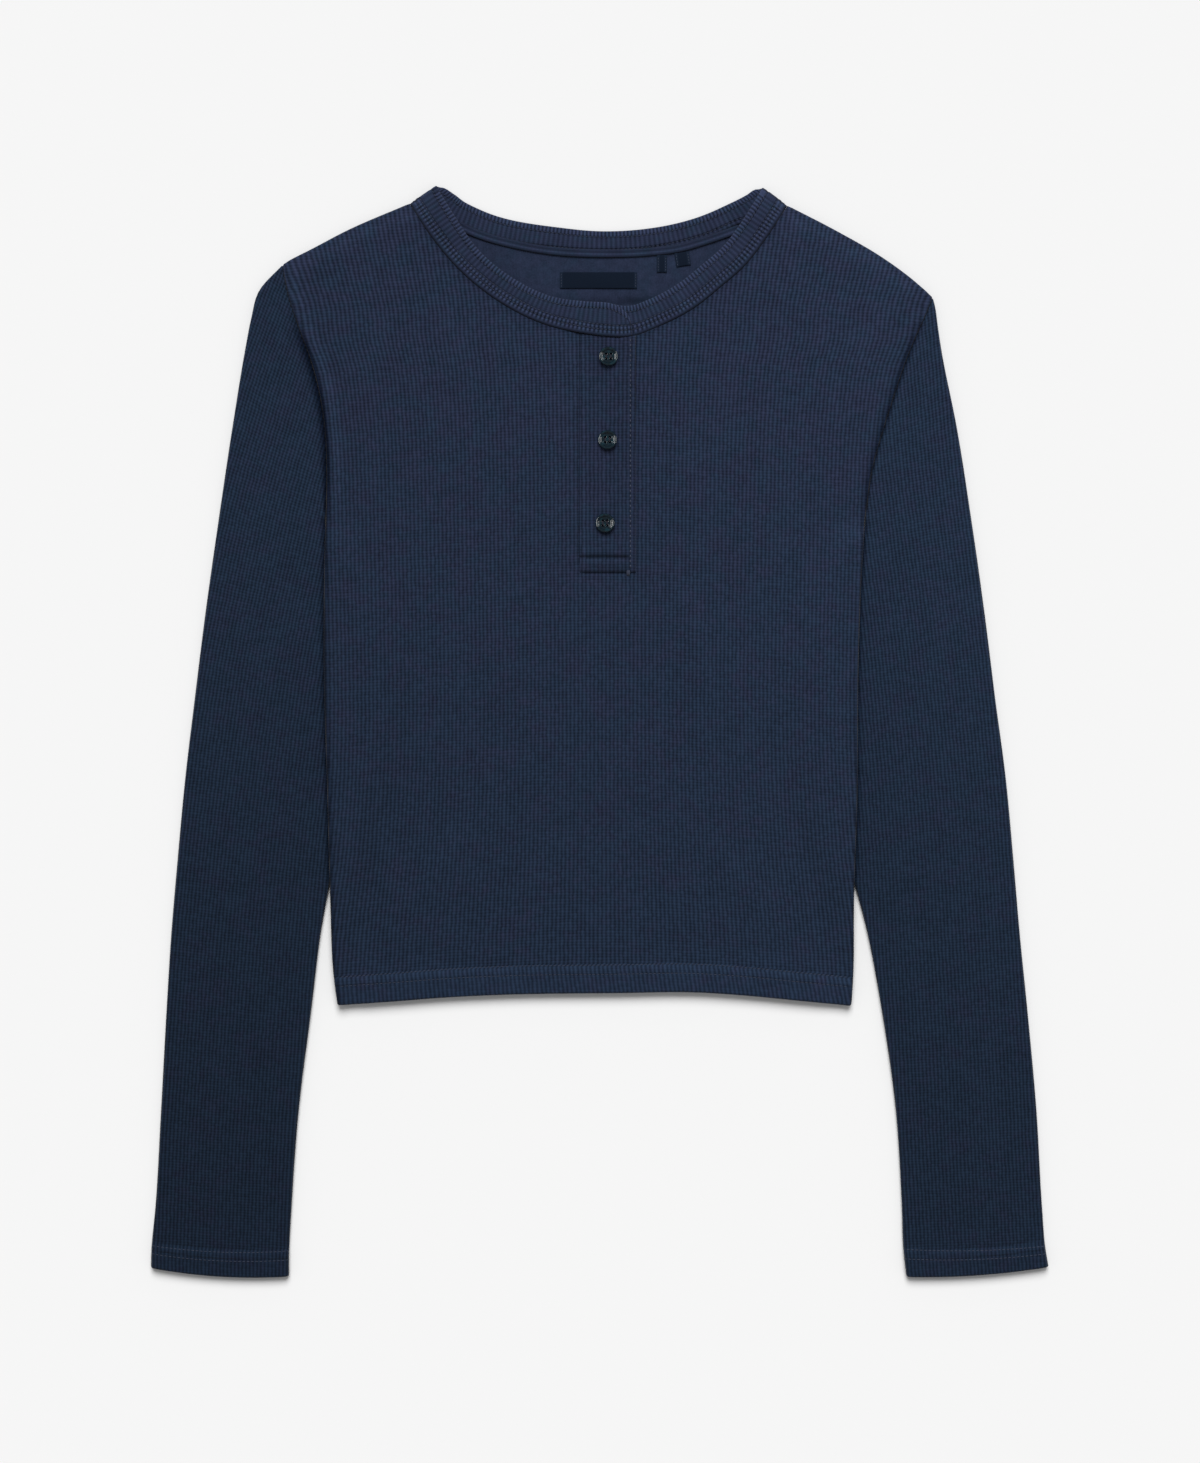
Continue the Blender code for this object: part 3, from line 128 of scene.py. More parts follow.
SIDE = table(Pair,
    ("hem corner", -157.2, -164, 150.6, -164.3),
    ("hem stitches", -159.3, -148, 151.6, -148),
    ("high hip", -161.4, -100, 152, -100),
    ("waist", -163, -40, 153.9, -40),
    ("ribs", -165.2, 40, 154.6, 40),
    ("under the arm", -165, 92, 156.4, 92),
    ("armpit", -164.4, 126.9, 158.7, 126.9),
)
ARMHOLE = table(Pair,
    ("armpit", -164.4, 126.9, 158.7, 126.9),
    ("lower curve", -163.8, 157, 163.2, 157),
    ("chest", -164.6, 178, 168.9, 178),
    ("front notch", -167.4, 199, 175.6, 199),
    ("upper curve", -173.6, 223, 183, 221),
    ("cap", -182, 246, 190.4, 239),
    ("cap top", -188, 266, 195.6, 250.5),
    ("shoulder tip", -190.2, 279.9, 199.5, 260.1),
)
SHOULDER = table(Pair,
    ("shoulder tip", -190.2, 279.9, 199.5, 260.1),
    ("shoulder bone", -182.4, 284.3, 187.2, 271),
    ("outer shoulder", -172, 289.6, 170, 283.6),
    ("mid shoulder", -153, 299.6, 142.2, 299.8),
    ("neck", -114, 316.5, 112.2, 315.3),
)
HEM = table(Spot,
    ("right corner", -157.2, -164),
    ("right hip", -123, -161.6),
    ("right groin", -93, -159.3),
    ("right of middle", -63, -157.8),
    ("middle", 12, -156.6),
    ("left of middle", 57, -156.2),
    ("left groin", 87, -158.1),
    ("left hip", 117, -161),
    ("left corner", 150.6, -164.3),
)
FRONT_NECK = table(Band,
    ("right ear", -114, 316.5, -98.4, 327.3),
    ("right shoulder", -102, 297.9, -87, 308.4),
    ("right upper curve", -82.2, 274.5, -70.8, 286.2),
    ("right curve", -60, 257.1, -51, 270.6),
    ("right lower curve", -36, 244.8, -30, 260.6),
    ("right of the placket", -12, 238.5, -9, 257.2),
    ("middle", 3, 236.4, 3.6, 256.4),
    ("left of the placket", 18, 236.3, 16.2, 254.7),
    ("left lower curve", 34.2, 242.1, 27.6, 257.8),
    ("left curve", 57, 254.1, 47.4, 268.3),
    ("left upper curve", 72, 266.1, 61.2, 279.4),
    ("left steep", 85.8, 278.1, 73.2, 289.8),
    ("left shoulder", 99, 294.9, 84.6, 304.8),
    ("left ear", 112.2, 315.3, 97.8, 326.1),
)
BACK_NECK = table(Band,
    ("right ear", -114, 316.5, -98.4, 327.3),
    ("right turn", -111.3, 312.4, -93.6, 325.9),
    ("right shoulder", -103.2, 308, -87.6, 322.2),
    ("right slope", -86.4, 301.5, -80, 316.8),
    ("right curve", -69, 294.9, -65, 310.1),
    ("right of middle", -24, 287.4, -22, 301.9),
    ("middle", 0, 286.2, 0, 300),
    ("left of middle", 24, 287.1, 22.8, 300.9),
    ("left curve", 66, 296.6, 61, 309.2),
    ("left slope", 84, 304.5, 77, 316.2),
    ("left shoulder", 101.4, 309.4, 88.2, 321.9),
    ("left turn", 109.7, 311.6, 93.2, 325),
    ("left ear", 112.2, 315.3, 97.8, 326.1),
)
SLEEVES = table(Cuff,
    ("cuff edge", -269.1, -321.3, -186.3, -326.4, 268.8, -320.7, 183.6, -326.7, 1),
    ("cuff stitches", -268.8, -310, -186.3, -313.5, 267, -310, 182, -312.3, 1),
    ("wrist", -266.4, -284.1, -184.8, -284.1, 264.9, -284.1, 180.9, -284.1, 1),
    ("forearm", -263.1, -227.1, -180.6, -227.1, 261.6, -227.1, 177.3, -227.1, 1),
    ("below the elbow", -259.8, -167.1, -173.1, -167.1, 256.2, -167.1, 168.9, -167.1, 1),
    ("elbow", -256.8, -119.1, -167.1, -119.1, 251.4, -119.1, 159.9, -119.1, 0.95),
    ("above the elbow", -253.2, -77.1, -160.2, -83.1, 247.8, -77.1, 150, -81.9, 0.85),
    ("low upper arm", -248.4, -26.1, -148.8, -35.1, 243, -26.1, 139.2, -35.1, 0.75),
    ("upper arm", -243, 18.9, -141.6, 6.9, 237, 18.9, 133.2, 6.9, 0.72),
    ("high upper arm", -236.4, 71.7, -142.8, 51.9, 230.4, 71.7, 135.6, 51.9, 0.72),
    ("under the arm", -228.6, 126.9, -154.2, 87.9, 222.6, 126.9, 147.6, 87.9, 0.80),
    ("armpit tuck", -219.6, 186.9, -164.9, 110.1, 213, 186.9, 157.9, 111.3, 0.90),
    ("lower cap", -212.7, 228.9, -164.8, 117.5, 204.6, 228.9, 158.6, 118, 0.95),
    ("cap", -209, 248, -164.7, 121, 202.2, 245, 158.8, 121.5, 1),
    ("cap curve", -204.8, 263.4, -164.7, 124.5, 201, 254, 158.9, 124.5, 1),
    ("shoulder tip", -190.2, 279.9, -164.4, 126.9, 199.5, 260.1, 158.7, 126.9, 1),
)
CUFF_BULGE = {-1: 2.6 * MM, 1: 2 * MM}
FOLDS = table(Fold,  # soft ridges, or troughs where the height is negative, each fading out from its middle
    ("from the placket to the left hip", 62, 42, -68, 62, 17, 0.9),
    ("from the placket to the right hip", -62, 26, 52, 58, 16, 0.8),
    ("across the right waist", -92, -82, 38, 60, 14, 0.7),
    ("down the left side", 112, -62, -78, 60, 15, -0.6),
    ("below the right armhole", -118, 96, -64, 42, 14, 0.6),
    ("above the hem", 66, -130, 4, 48, 9, -0.5),
)
BUTTONS = table(Spot,
    ("button_1", 5.1, 224.1),
    ("button_2", 4.5, 174.3),
    ("button_3", 3, 124.5),
)
LABELS = table(Slab,
    ("neck_label", -0.9, 270.3, 0, 46.2, 9.7),
    ("fit_tab", 37.1, 280.3, 0, 6, 10.4),
    ("size_tab", 49.5, 283, 9, 8.7, 8.2),
)


# --- curves
def smoothstep(low, high, value):
    """0 below low, 1 above high, with a smooth S between them."""
    part = np.clip((np.asarray(value, dtype=float) - low) / (high - low), 0.0, 1.0)
    return part * part * (3.0 - 2.0 * part)


def ramp(run, value):
    """0 below 0 and 1 above the run, with the same S between them."""
    return smoothstep(0.0, run, value)


def blend(first, second, share):
    """The first where the share is 0, the second where it is 1, and a straight mix between."""
    return first + (second - first) * share


def bell(value, width):
    """1 where the value is 0, falling off to both sides as exp(-(value / width)^2)."""
    return np.exp(-(value / width) ** 2)


def wave(length, pitch):
    """0 to 1 and back once in every pitch."""
    return 0.5 + 0.5 * np.cos(2.0 * np.pi * length / pitch)


def unit(vectors):
    return vectors / np.linalg.norm(vectors, axis=-1, keepdims=True)


def raised(plan, height):
    """Plan points with their heights."""
    return np.concatenate([plan, height[..., None]], axis=-1)


def run_along(points):
    """Length along a polyline up to each of its points."""
    return np.concatenate([[0.0], np.cumsum(np.linalg.norm(np.diff(points, axis=0), axis=1))])


def hermite(knots, values, at):
    """A cubic through values at the given knots, with each slope taken from its neighbours."""
    knots = np.asarray(knots, dtype=float)
    values = np.asarray(values, dtype=float).reshape(len(knots), -1)
    spans = np.diff(knots)[:, None]
    chords = np.diff(values, axis=0) / spans
    slopes = np.empty_like(values)
    slopes[0], slopes[-1] = chords[0], chords[-1]
    slopes[1:-1] = (chords[:-1] * spans[1:] + chords[1:] * spans[:-1]) / (spans[:-1] + spans[1:])
    at = np.atleast_1d(np.asarray(at, dtype=float))
    cell = np.clip(np.searchsorted(knots, at, side="right") - 1, 0, len(knots) - 2)
    span = spans[cell]
    part = ((at - knots[cell])[:, None]) / span
    start, gain = values[cell], values[cell + 1] - values[cell]
    rise, fall = slopes[cell] * span, slopes[cell + 1] * span
    return start + part * (rise + part * (3 * gain - 2 * rise - fall + part * (rise + fall - 2 * gain)))


def columns(rows, *names):
    """The named columns of a table, in metres, as an array with one row each."""
    return np.array([[getattr(row, name) * MM for name in names] for row in rows])


class Path:
    """A smooth plan curve through points; its parameter runs from 0 to 1 with the chord length."""

    def __init__(self, points, knots=None):
        self.points = np.asarray(points, dtype=float)
        knots = run_along(self.points) if knots is None else knots
        self.knots = knots / knots[-1]

    def at(self, share):
        return hermite(self.knots, self.points, share)

    def length(self):
        return run_along(self.at(np.linspace(0.0, 1.0, FINE)))[-1]

    def normal(self, share, outward):
        """Unit normals, turned to the side on which `outward`, a plan direction, lies."""
        small = 0.002
        share = np.atleast_1d(share)
        run = self.at(np.clip(share + small, 0, 1)) - self.at(np.clip(share - small, 0, 1))
        side = unit(np.stack([-run[:, 1], run[:, 0]], axis=1))
        return side * np.sign(side @ np.asarray(outward, dtype=float))[:, None]

    def value(self, at, known=0, wanted=1):
        """The wanted coordinate where the known one, which must rise or fall all along, is `at`."""
        line = self.at(np.linspace(0.0, 1.0, FINE))
        order = np.argsort(line[:, known])
        return np.interp(at, line[order, known], line[order, wanted])

    def x_at(self, y):
        return self.value(y, known=1, wanted=0)

    def share_at(self, x):
        """The parameter at which a curve that runs towards +X passes x."""
        shares = np.linspace(0.0, 1.0, FINE)
        return float(np.interp(x, self.at(shares)[:, 0], shares))


def sleeve_paths(which):
    """The sleeve's outer and inner edges, which share their knots, and the crown's width."""
    outer, inner = (columns(SLEEVES, f"{which}_{edge}_x", f"{which}_{edge}_y")
                    for edge in ("outer", "inner"))
    knots = run_along(outer) + run_along(inner)
    return Path(outer, knots), Path(inner, knots), Path([row.crown for row in SLEEVES], knots)


SIDE_PATHS, ARMHOLE_PATHS, SHOULDER_PATHS = (
    {side: Path(columns(spots, f"{which}_x", f"{which}_y")) for side, which in zip(SIDES, ("right", "left"))}
    for spots in (SIDE, ARMHOLE, SHOULDER)
)
HEM_PATH = Path(columns(HEM, "x", "y"))
SLEEVE_PATHS = {-1: sleeve_paths("right"), 1: sleeve_paths("left")}
ARMPIT_Y = ARMHOLE[0].right_y * MM


# --- heights of the cloth
SHELF_Y = (-105 * MM, -65 * MM)  # between these the sleeve goes under the body's edge
CHEST_Y = (-140 * MM, 60 * MM)  # between these the loft grows to its full height


def side_x(side, y):
    """x of the body's edge on one side at a height y, along the side seam and the armhole."""
    return np.where(y < ARMPIT_Y, SIDE_PATHS[side].x_at(y), ARMHOLE_PATHS[side].x_at(y))


def from_sides(x, y):
    """Distances from the body's right and left edge, both positive inside it."""
    return x - side_x(-1, y), side_x(1, y) - x


def tuck_height(x, y):
    """How far the tucked sleeves hold the body off the table."""
    raised = np.zeros_like(x)
    shelf = blend(FREE_SHELF, TUCK_SHELF, smoothstep(*SHELF_Y, y))
    for side in SIDES:
        clear = (SLEEVE_PATHS[side][1].x_at(y) - x) * side
        raised = np.maximum(raised, 1.0 - ramp(TUCK_RUN, clear - shelf))
    return TUCK_LIFT * raised * ramp(TUCK_START, ARMPIT_Y - y)


def crease_height(creases, x, y):
    """Sum of bells: each is its height times exp(-along^2 - across^2) in its own turned axes."""
    total = np.zeros_like(x)
    for fold in creases:
        turn = np.radians(fold.angle)
        east, north = x - fold.x * MM, y - fold.y * MM
        along = (east * np.cos(turn) + north * np.sin(turn)) / (fold.length * MM)
        across = (north * np.cos(turn) - east * np.sin(turn)) / (fold.width * MM)
        total = total + fold.height * MM * np.exp(-along**2 - across**2)
    return total


def fold_height(x, y):
    """The largest soft folds of the front, away from the placket and the edges."""
    beside = smoothstep(30 * MM, 55 * MM, np.abs(x - 3 * MM))
    below = smoothstep(10 * MM, 35 * MM, PLACKET_FOOT - y)
    return crease_height(FOLDS, x, y) * np.maximum(beside, below)


def edge_share(x, y):
    """0 at the body's side and shoulder edges and 1 well inside them."""
    right, left = (ramp(EDGE_RUN, inside) for inside in from_sides(x, y))
    shares = np.linspace(0.0, 1.0, FINE)
    ridge = np.concatenate([SHOULDER_PATHS[-1].at(shares), SHOULDER_PATHS[1].at(shares[::-1])])
    below = np.interp(x, ridge[:, 0], ridge[:, 1]) - y
    return right * left * ramp(SHOULDER_RUN, below)


def hem_share(rise, height=HEM_HEIGHT):
    """1 inside a turned hem and 0 above it; rise is the height above the hem's edge."""
    return 1.0 - smoothstep(height - STEP_RUN / 2, height + STEP_RUN / 2, rise)


def hem_rise(x, y):
    return y - HEM_PATH.value(x)


def knit_wall(x, y):
    return blend(KNIT, HEM_KNIT, hem_share(hem_rise(x, y)))


def knit_air(x, y):
    return blend(AIR, HEM_AIR, hem_share(hem_rise(x, y)))


def back_middle(x, y):
    """z of the middle of the back panel's wall."""
    return tuck_height(x, y) + knit_wall(x, y) / 2


# --- creases of the finished cloth
# Ridges where the height is positive and troughs where it is negative.
CREASES_FRONT = table(Fold,
    ("off the placket's foot", 38, 92, -52, 13, 3.4, -0.45),
    ("beside it", 42, 84, -50, 15, 3.6, 0.42),
    ("long crease from the placket", 52, 54, -66, 30, 5, 0.48),
    ("right groin", -96, -84, 52, 38, 6.5, 0.75),
    ("left groin", 88, -96, -52, 42, 7, 0.75),
    ("bright spot by the left hip", 84, -90, -40, 14, 8, 0.80),
    ("left hip hollow", 144, -116, 82, 38, 13, -1.25),
    ("left flank hollow", 118, 20, 86, 38, 12, -0.75),
    ("right flank hollow", -142, 22, 84, 48, 11, -0.80),
    ("right chest ridge", -136, 214, 66, 38, 8, 0.80),
    ("left chest ridge", 163, 214, -80, 26, 7, 0.72),
    ("left armpit ridge", 150, 88, -84, 26, 6, 0.64),
    ("right hem pucker", -92, -137, -8, 34, 5, -0.78),
    ("left hem pucker", 80, -136, 6, 36, 5, -0.78),
    ("small hem crease", -108, -133, 34, 12, 3.2, -0.42),
    ("across the belly", -22, -58, 8, 44, 9, -0.35),
    ("low belly", 30, -112, -6, 36, 8, 0.32),
    ("right pull at the neck", -70, 218, 50, 24, 6.5, 0.38),
    ("left pull at the neck", 84, 222, -48, 22, 6, 0.38),
    ("right shoulder hollow", -140, 272, -28, 20, 7, -0.42),
    ("left shoulder hollow", 146, 268, 32, 18, 7, -0.42),
)
CREASES_BACK = table(Fold,
    ("right blade", -96, 150, 58, 44, 9, 0.5),
    ("left blade", 88, 132, -64, 50, 8, 0.45),
    ("small of the back", 10, 6, 6, 60, 9, -0.4),
    ("right seat", -70, -92, 40, 40, 8, 0.4),
    ("left seat", 82, -80, -48, 44, 7, 0.45),
)
CREASES_RIGHT_SLEEVE = table(Fold,
    ("inside of the elbow", -196, -112, 22, 30, 6.5, -0.55),
    ("above the elbow", -204, -84, 16, 28, 6, 0.40),
    ("upper arm", -196, 22, 66, 46, 9, 0.45),
    ("towards the armpit", -184, 84, 74, 34, 7.5, -0.45),
    ("forearm", -222, -206, 80, 44, 9, 0.30),
    ("above the cuff", -232, -292, 4, 24, 5, -0.26),
    ("cap", -204, 206, 72, 26, 6, 0.40),
)
CREASES_LEFT_SLEEVE = table(Fold,
    ("inside of the elbow", 188, -118, -26, 28, 6.5, -0.50),
    ("above the elbow", 196, -90, -18, 26, 6, 0.36),
    ("upper arm", 192, 26, -70, 44, 9, 0.42),
    ("towards the armpit", 178, 82, -78, 32, 7, -0.42),
    ("forearm", 214, -214, -84, 42, 8.5, 0.30),
    ("above the cuff", 232, -296, -6, 22, 4.5, -0.26),
    ("cap", 188, 206, -76, 22, 6, 0.30),
)
ROLL_INSET = 5.2 * MM  # distance from the armhole seam to the crest of the cloth's roll
ROLL_WIDTH = 4.2 * MM
ROLL_HEIGHT = 1 * MM
SEAM_SINK = 0.9 * MM  # how far both sides of the armhole seam are pulled down
TOUCH = 0.02 * MM  # clearance left at a sewn seam of the finished cloth
SEAM_RUN = 2.6 * MM
ARMPIT_TUCK = (118 * MM, 7 * MM, 0.8 * MM)  # y, reach and size of the sleeve's shift there
PUFF = (0.25 * MM, 4.5 * MM, 3.2 * MM)  # height, place above a turned hem and width of the puffed row
# Painted shadow along each armhole and painted light on the roll beside it; below the armpits a painted
# shadow where the body lies on the sleeve.
SEAM_LINES = {  # the dark line along each armhole, and the light on the roll beside it
    -1: Line(0.93, 2.4, 4.4, 0.20),
    1: Line(0.68, 3.0, 2.8, 0.0),
}
EDGE_LINES = {  # the same below the armpits, where the body lies on the sleeve
    -1: Line(0.68, 2.4, 2.0, 0.0),
    1: Line(0.62, 1.4, 1.8, 0.0),
}
LINE_END = (0.228, 0.258)  # y over which the armhole's dark line fades out towards the shoulder
# painted shadow on the panels along the neckband's seam
NECK_LINE = (0.32, 1.6 * MM)  # depth and spread of the panels' dark line along the neckband
ROLL_STRENGTH = {-1: 1.0, 1: 0.7}
BLADES_Y = (0.205, 0.235)  # y over which the back's creases fade out towards the neck


def armhole_roll(x, y):
    """Height of the roll beside the armhole: a bell at its inset, less a sink at the seam itself."""
    total = np.zeros_like(x)
    for side, inside in zip(SIDES, from_sides(x, y)):
        crest = ROLL_HEIGHT * bell(inside - ROLL_INSET, ROLL_WIDTH)
        sink = SEAM_SINK * bell(np.maximum(inside, 0.0), SEAM_RUN)
        total = total + ROLL_STRENGTH[side] * (crest - sink)
    return total * smoothstep(-0.02, 0.03, y - ARMPIT_Y)


def puffed(rise, height):
    """Rise of the cloth just above the stitches of a turned hem of the given height."""
    size, place, width = PUFF
    return size * bell(rise - height - place, width)


def front_base(x, y):
    """z of the middle of the front panel's wall, with its largest folds."""
    loft = blend(HEM_LOFT, LOFT, smoothstep(*CHEST_Y, y)) + fold_height(x, y)
    return tuck_height(x, y) + knit_wall(x, y) * 1.5 + knit_air(x, y) + loft * edge_share(x, y)


def front_middle(x, y):
    """The same with the small creases, which stay off the placket and fade at the edges."""
    beside = smoothstep(18 * MM, 30 * MM, np.abs(x - 4.7 * MM))
    below = smoothstep(2 * MM, 12 * MM, PLACKET_FOOT - y)
    fade = ramp(10 * MM, np.minimum(*from_sides(x, y)))
    small = crease_height(CREASES_FRONT, x, y) * np.maximum(beside, below)
    puff = puffed(hem_rise(x, y), HEM_HEIGHT)
    return front_base(x, y) + (small + puff) * fade + armhole_roll(x, y)


def body_seams(x, y):
    """Fields beside the body's sides: distance from the edge, depth and spread of its painted shadow line,
    and the painted light on the roll.
    """
    right, left = from_sides(x, y)
    inside = np.maximum(np.minimum(right, left), 0.0)
    above = smoothstep(-0.01, 0.02, y - ARMPIT_Y)

    def here(lines, column):
        return np.where(right < left, getattr(lines[-1], column), getattr(lines[1], column))

    fading = 1.0 - smoothstep(*LINE_END, y)
    depth = blend(here(EDGE_LINES, "depth"), here(SEAM_LINES, "depth") * fading, above)
    spread = blend(here(EDGE_LINES, "body_spread"), here(SEAM_LINES, "body_spread"), above) * MM
    roll = here(SEAM_LINES, "roll_light") * above * bell(inside - 6 * MM, 3 * MM)
    return inside, depth, spread, roll


def back_relief(x, y):
    """The back's middle with its creases, which lift off the table and never sink into it."""
    fade = ramp(18 * MM, np.minimum(*from_sides(x, y)))
    low = 1.0 - smoothstep(*BLADES_Y, y)
    return back_middle(x, y) + np.maximum(crease_height(CREASES_BACK, x, y), 0.0) * fade * low

# --- lie of the knit
RIB = 2.42 * MM  # width of one waffle cell of the body
ROW = 1.764 * MM  # its height
SLEEVE_RIB = 2.22 * MM
SLEEVE_ROW = 1.68 * MM
SLEEVE_ROW_STRETCH = 1.02
ROW_ARCH = 2.25705 * MM  # how far the rows drop towards the sides, for each run from the middle
ROW_ARCH_RUN = 42 * MM
CAP_SHIFT = 6 * MM  # how far the armhole draws the ribs outwards at the shoulder
CAP_SHIFT_RUN = 15 * MM
CAP_Y = (193 * MM, 268 * MM)
SLEEVE_MIDDLE = 232 * MM  # distance of a sleeve's middle rib from x = 0 at its lowest grain row
BODY_SPREAD = table(Spread,  # how far apart the ribs lie at each height, beside their even spacing
    (-220, 1.08), (-120, 1.04), (-71, 1.00), (-11, 0.975), (49, 0.975), (109, 0.985), (139, 0.99),
    (175, 1.00), (199, 1.015), (217, 1.03), (235, 1.06), (253, 1.075), (268, 1.10), (330, 1.20),
)
SLEEVE_GRAIN = {  # lean of the ribs and tilt of the rows, in degrees
    -1: table(Grain, (-360, 2, 3.5), (-281, 2, 3.5), (-221, 4, 3.5), (-161, 4, 5.5), (-101, 5.5, 6.5),
              (-41, 7, 6.5), (19, 8.3, 8), (79, 12, 12), (127, 12.5, 16), (169, 16.5, 21),
              (199, 16.5, 24), (229, 20, 28), (300, 22, 30)),
    1: table(Grain, (-360, 3.5, 2), (-281, 3.5, 2), (-221, 2.5, 3), (-161, 3.5, 3), (-101, 3.3, 4),
             (-41, 4.5, 4.5), (19, 5.3, 5.6), (79, 7, 8), (127, 7.5, 10), (169, 5, 11),
             (199, 4.7, 19), (300, 4.7, 22)),
}


def body_grain(x, y):
    """Cloth coordinates of the body: x over the ribs' spread, y plus the arch of the rows."""
    knots = [row.y * MM for row in BODY_SPREAD]
    scale = hermite(knots, [row.scale for row in BODY_SPREAD], y.ravel())[:, 0].reshape(y.shape)
    shift = np.zeros_like(x)
    for side, inside in zip(SIDES, from_sides(x, np.minimum(y, 0.26))):
        shift = shift + side * np.exp(-np.maximum(inside, 0.0) / CAP_SHIFT_RUN)
    shift = shift * CAP_SHIFT * smoothstep(*CAP_Y, y)
    arch = ROW_ARCH * (np.sqrt(1.0 + (x / ROW_ARCH_RUN) ** 2) - 1.0)
    return np.stack([(x - shift) / scale, y + arch], axis=-1)


def sleeve_grain(side, x, y):
    """Cloth coordinates of a sleeve: x from a line that follows the ribs' lean, y up the rows."""
    knots = np.array([row.y for row in SLEEVE_GRAIN[side]]) * MM
    lean, tilt = (np.tan(np.radians([getattr(row, name) for row in SLEEVE_GRAIN[side]]))
                  for name in ("lean", "tilt"))
    fine = np.linspace(knots[0], knots[-1], FINE)
    lean = np.interp(fine, knots, lean)
    drift = np.concatenate([[0.0], np.cumsum((lean[1:] + lean[:-1]) / 2 * np.diff(fine))])
    across = x - side * np.interp(y, fine, SLEEVE_MIDDLE - drift)
    rows = SLEEVE_ROW_STRETCH * y - side * across * np.interp(y, knots, tilt)
    return np.stack([across, rows], axis=-1)


# --- mesh helpers
RIM = 0.12  # least share of the wall that is left at a rounded rim


def add_piece(name, points, faces, look, uv=None, **fields):
    """One mesh object from arrays: points, a list of face arrays, cloth coordinates and fields."""
    sizes = np.concatenate([np.full(len(block), block.shape[1]) for block in faces])
    corners = np.concatenate([block.ravel() for block in faces])
    used, corners = np.unique(corners, return_inverse=True)
    mesh = bpy.data.meshes.new(name)
    mesh.vertices.add(len(used))
    mesh.vertices.foreach_set("co", points[used].astype(np.float32).ravel())
    mesh.loops.add(len(corners))
    mesh.loops.foreach_set("vertex_index", corners.astype(np.int32))
    mesh.polygons.add(len(sizes))
    starts = np.concatenate([[0], np.cumsum(sizes)[:-1]])
    mesh.polygons.foreach_set("loop_start", starts.astype(np.int32))
    mesh.update(calc_edges=True)
    if uv is not None:
        layer = mesh.uv_layers.new(name="UVMap")
        layer.data.foreach_set("uv", uv[used][corners].astype(np.float32).ravel())
    for key, values in fields.items():
        field = mesh.attributes.new(key, "FLOAT", "POINT")
        field.data.foreach_set("value", values[used].astype(np.float32))
    if mesh.validate():
        raise RuntimeError(f"{name}: its mesh had faults")
    mesh.materials.append(look)
    mesh.shade_smooth()
    return linked(name, mesh)


def linked(name, data):
    """A new object of the scene that shows the data."""
    made = bpy.data.objects.new(name, data)
    bpy.context.collection.objects.link(made)
    return made


def grid_faces(rows, cols, around=False):
    """Four-sided faces of a grid of points; `around` joins the last column to the first."""
    index = np.arange(rows * cols).reshape(rows, cols)
    if around:
        index = np.concatenate([index, index[:, :1]], axis=1)
    return np.stack([index[:-1, :-1], index[:-1, 1:], index[1:, 1:], index[1:, :-1]], axis=-1)


def turned_out(points, ring, faces, lean):
    """The faces, all turned over if the first block looks against the wall's outward direction."""
    corner = points[ring]
    normal = np.cross(corner[:, 1] - corner[:, 0], corner[:, 3] - corner[:, 0])
    against = (normal * lean[ring[:, 0]]).sum() < 0
    return [block[:, ::-1] for block in faces] if against else faces


def wall_piece(name, middle, lean, wall, look, uv, kept=None, **fields):
    """A closed wall: a grid moved half the wall out, the same half in, and a rim round both."""
    rows, cols = middle.shape[:2]
    half = lean * wall[..., None] / 2
    points = np.concatenate([(middle + half).reshape(-1, 3), (middle - half).reshape(-1, 3)])
    ring = grid_faces(rows, cols)
    kept = np.ones(ring.shape[:2], dtype=bool) if kept is None else kept
    under = rows * cols
    edges = np.pad(kept, 1)
    faces = [ring[kept], ring[kept][:, ::-1] + under]
    for step, (down, across) in enumerate(((-1, 0), (0, 1), (1, 0), (0, -1))):
        beside = edges[1 + down:rows + down, 1 + across:cols + across]
        border = ring[kept & ~beside]
        first, second = border[:, step], border[:, (step + 1) % 4]
        faces.append(np.stack([second, first, first + under, second + under], axis=1))
    faces = turned_out(points, ring[kept], faces, lean.reshape(-1, 3))
    both = {key: np.tile(value.ravel(), 2) for key, value in fields.items()}
    return add_piece(name, points, faces, look, np.tile(uv.reshape(-1, 2), (2, 1)), **both)


def upright(x, y, height):
    """The middle of a wall that lies flat, and its directions, which all point up."""
    middle = np.stack([x, y, height], axis=-1)
    return middle, np.broadcast_to([0.0, 0.0, 1.0], middle.shape)


def rim_share(distance, half):
    """Share of the wall left at a distance from a rounded rim: a quarter circle's height."""
    part = np.clip(1.0 - distance / half, 0.0, 1.0)
    return np.maximum(np.sqrt(1.0 - part**2), RIM)


def spaced(near, step, length, near_end=()):
    """Distances from 0 to length: the near ones given, then even steps, then the ones at the end."""
    near, near_end = np.asarray(near, dtype=float), length - np.asarray(near_end, dtype=float)[::-1]
    last = near_end[0] if len(near_end) else length
    count = max(int(np.ceil((last - near[-1]) / step)), 1)
    even = np.linspace(near[-1], last, count + 1)[1:]
    return np.concatenate([near, even, near_end[1:]])


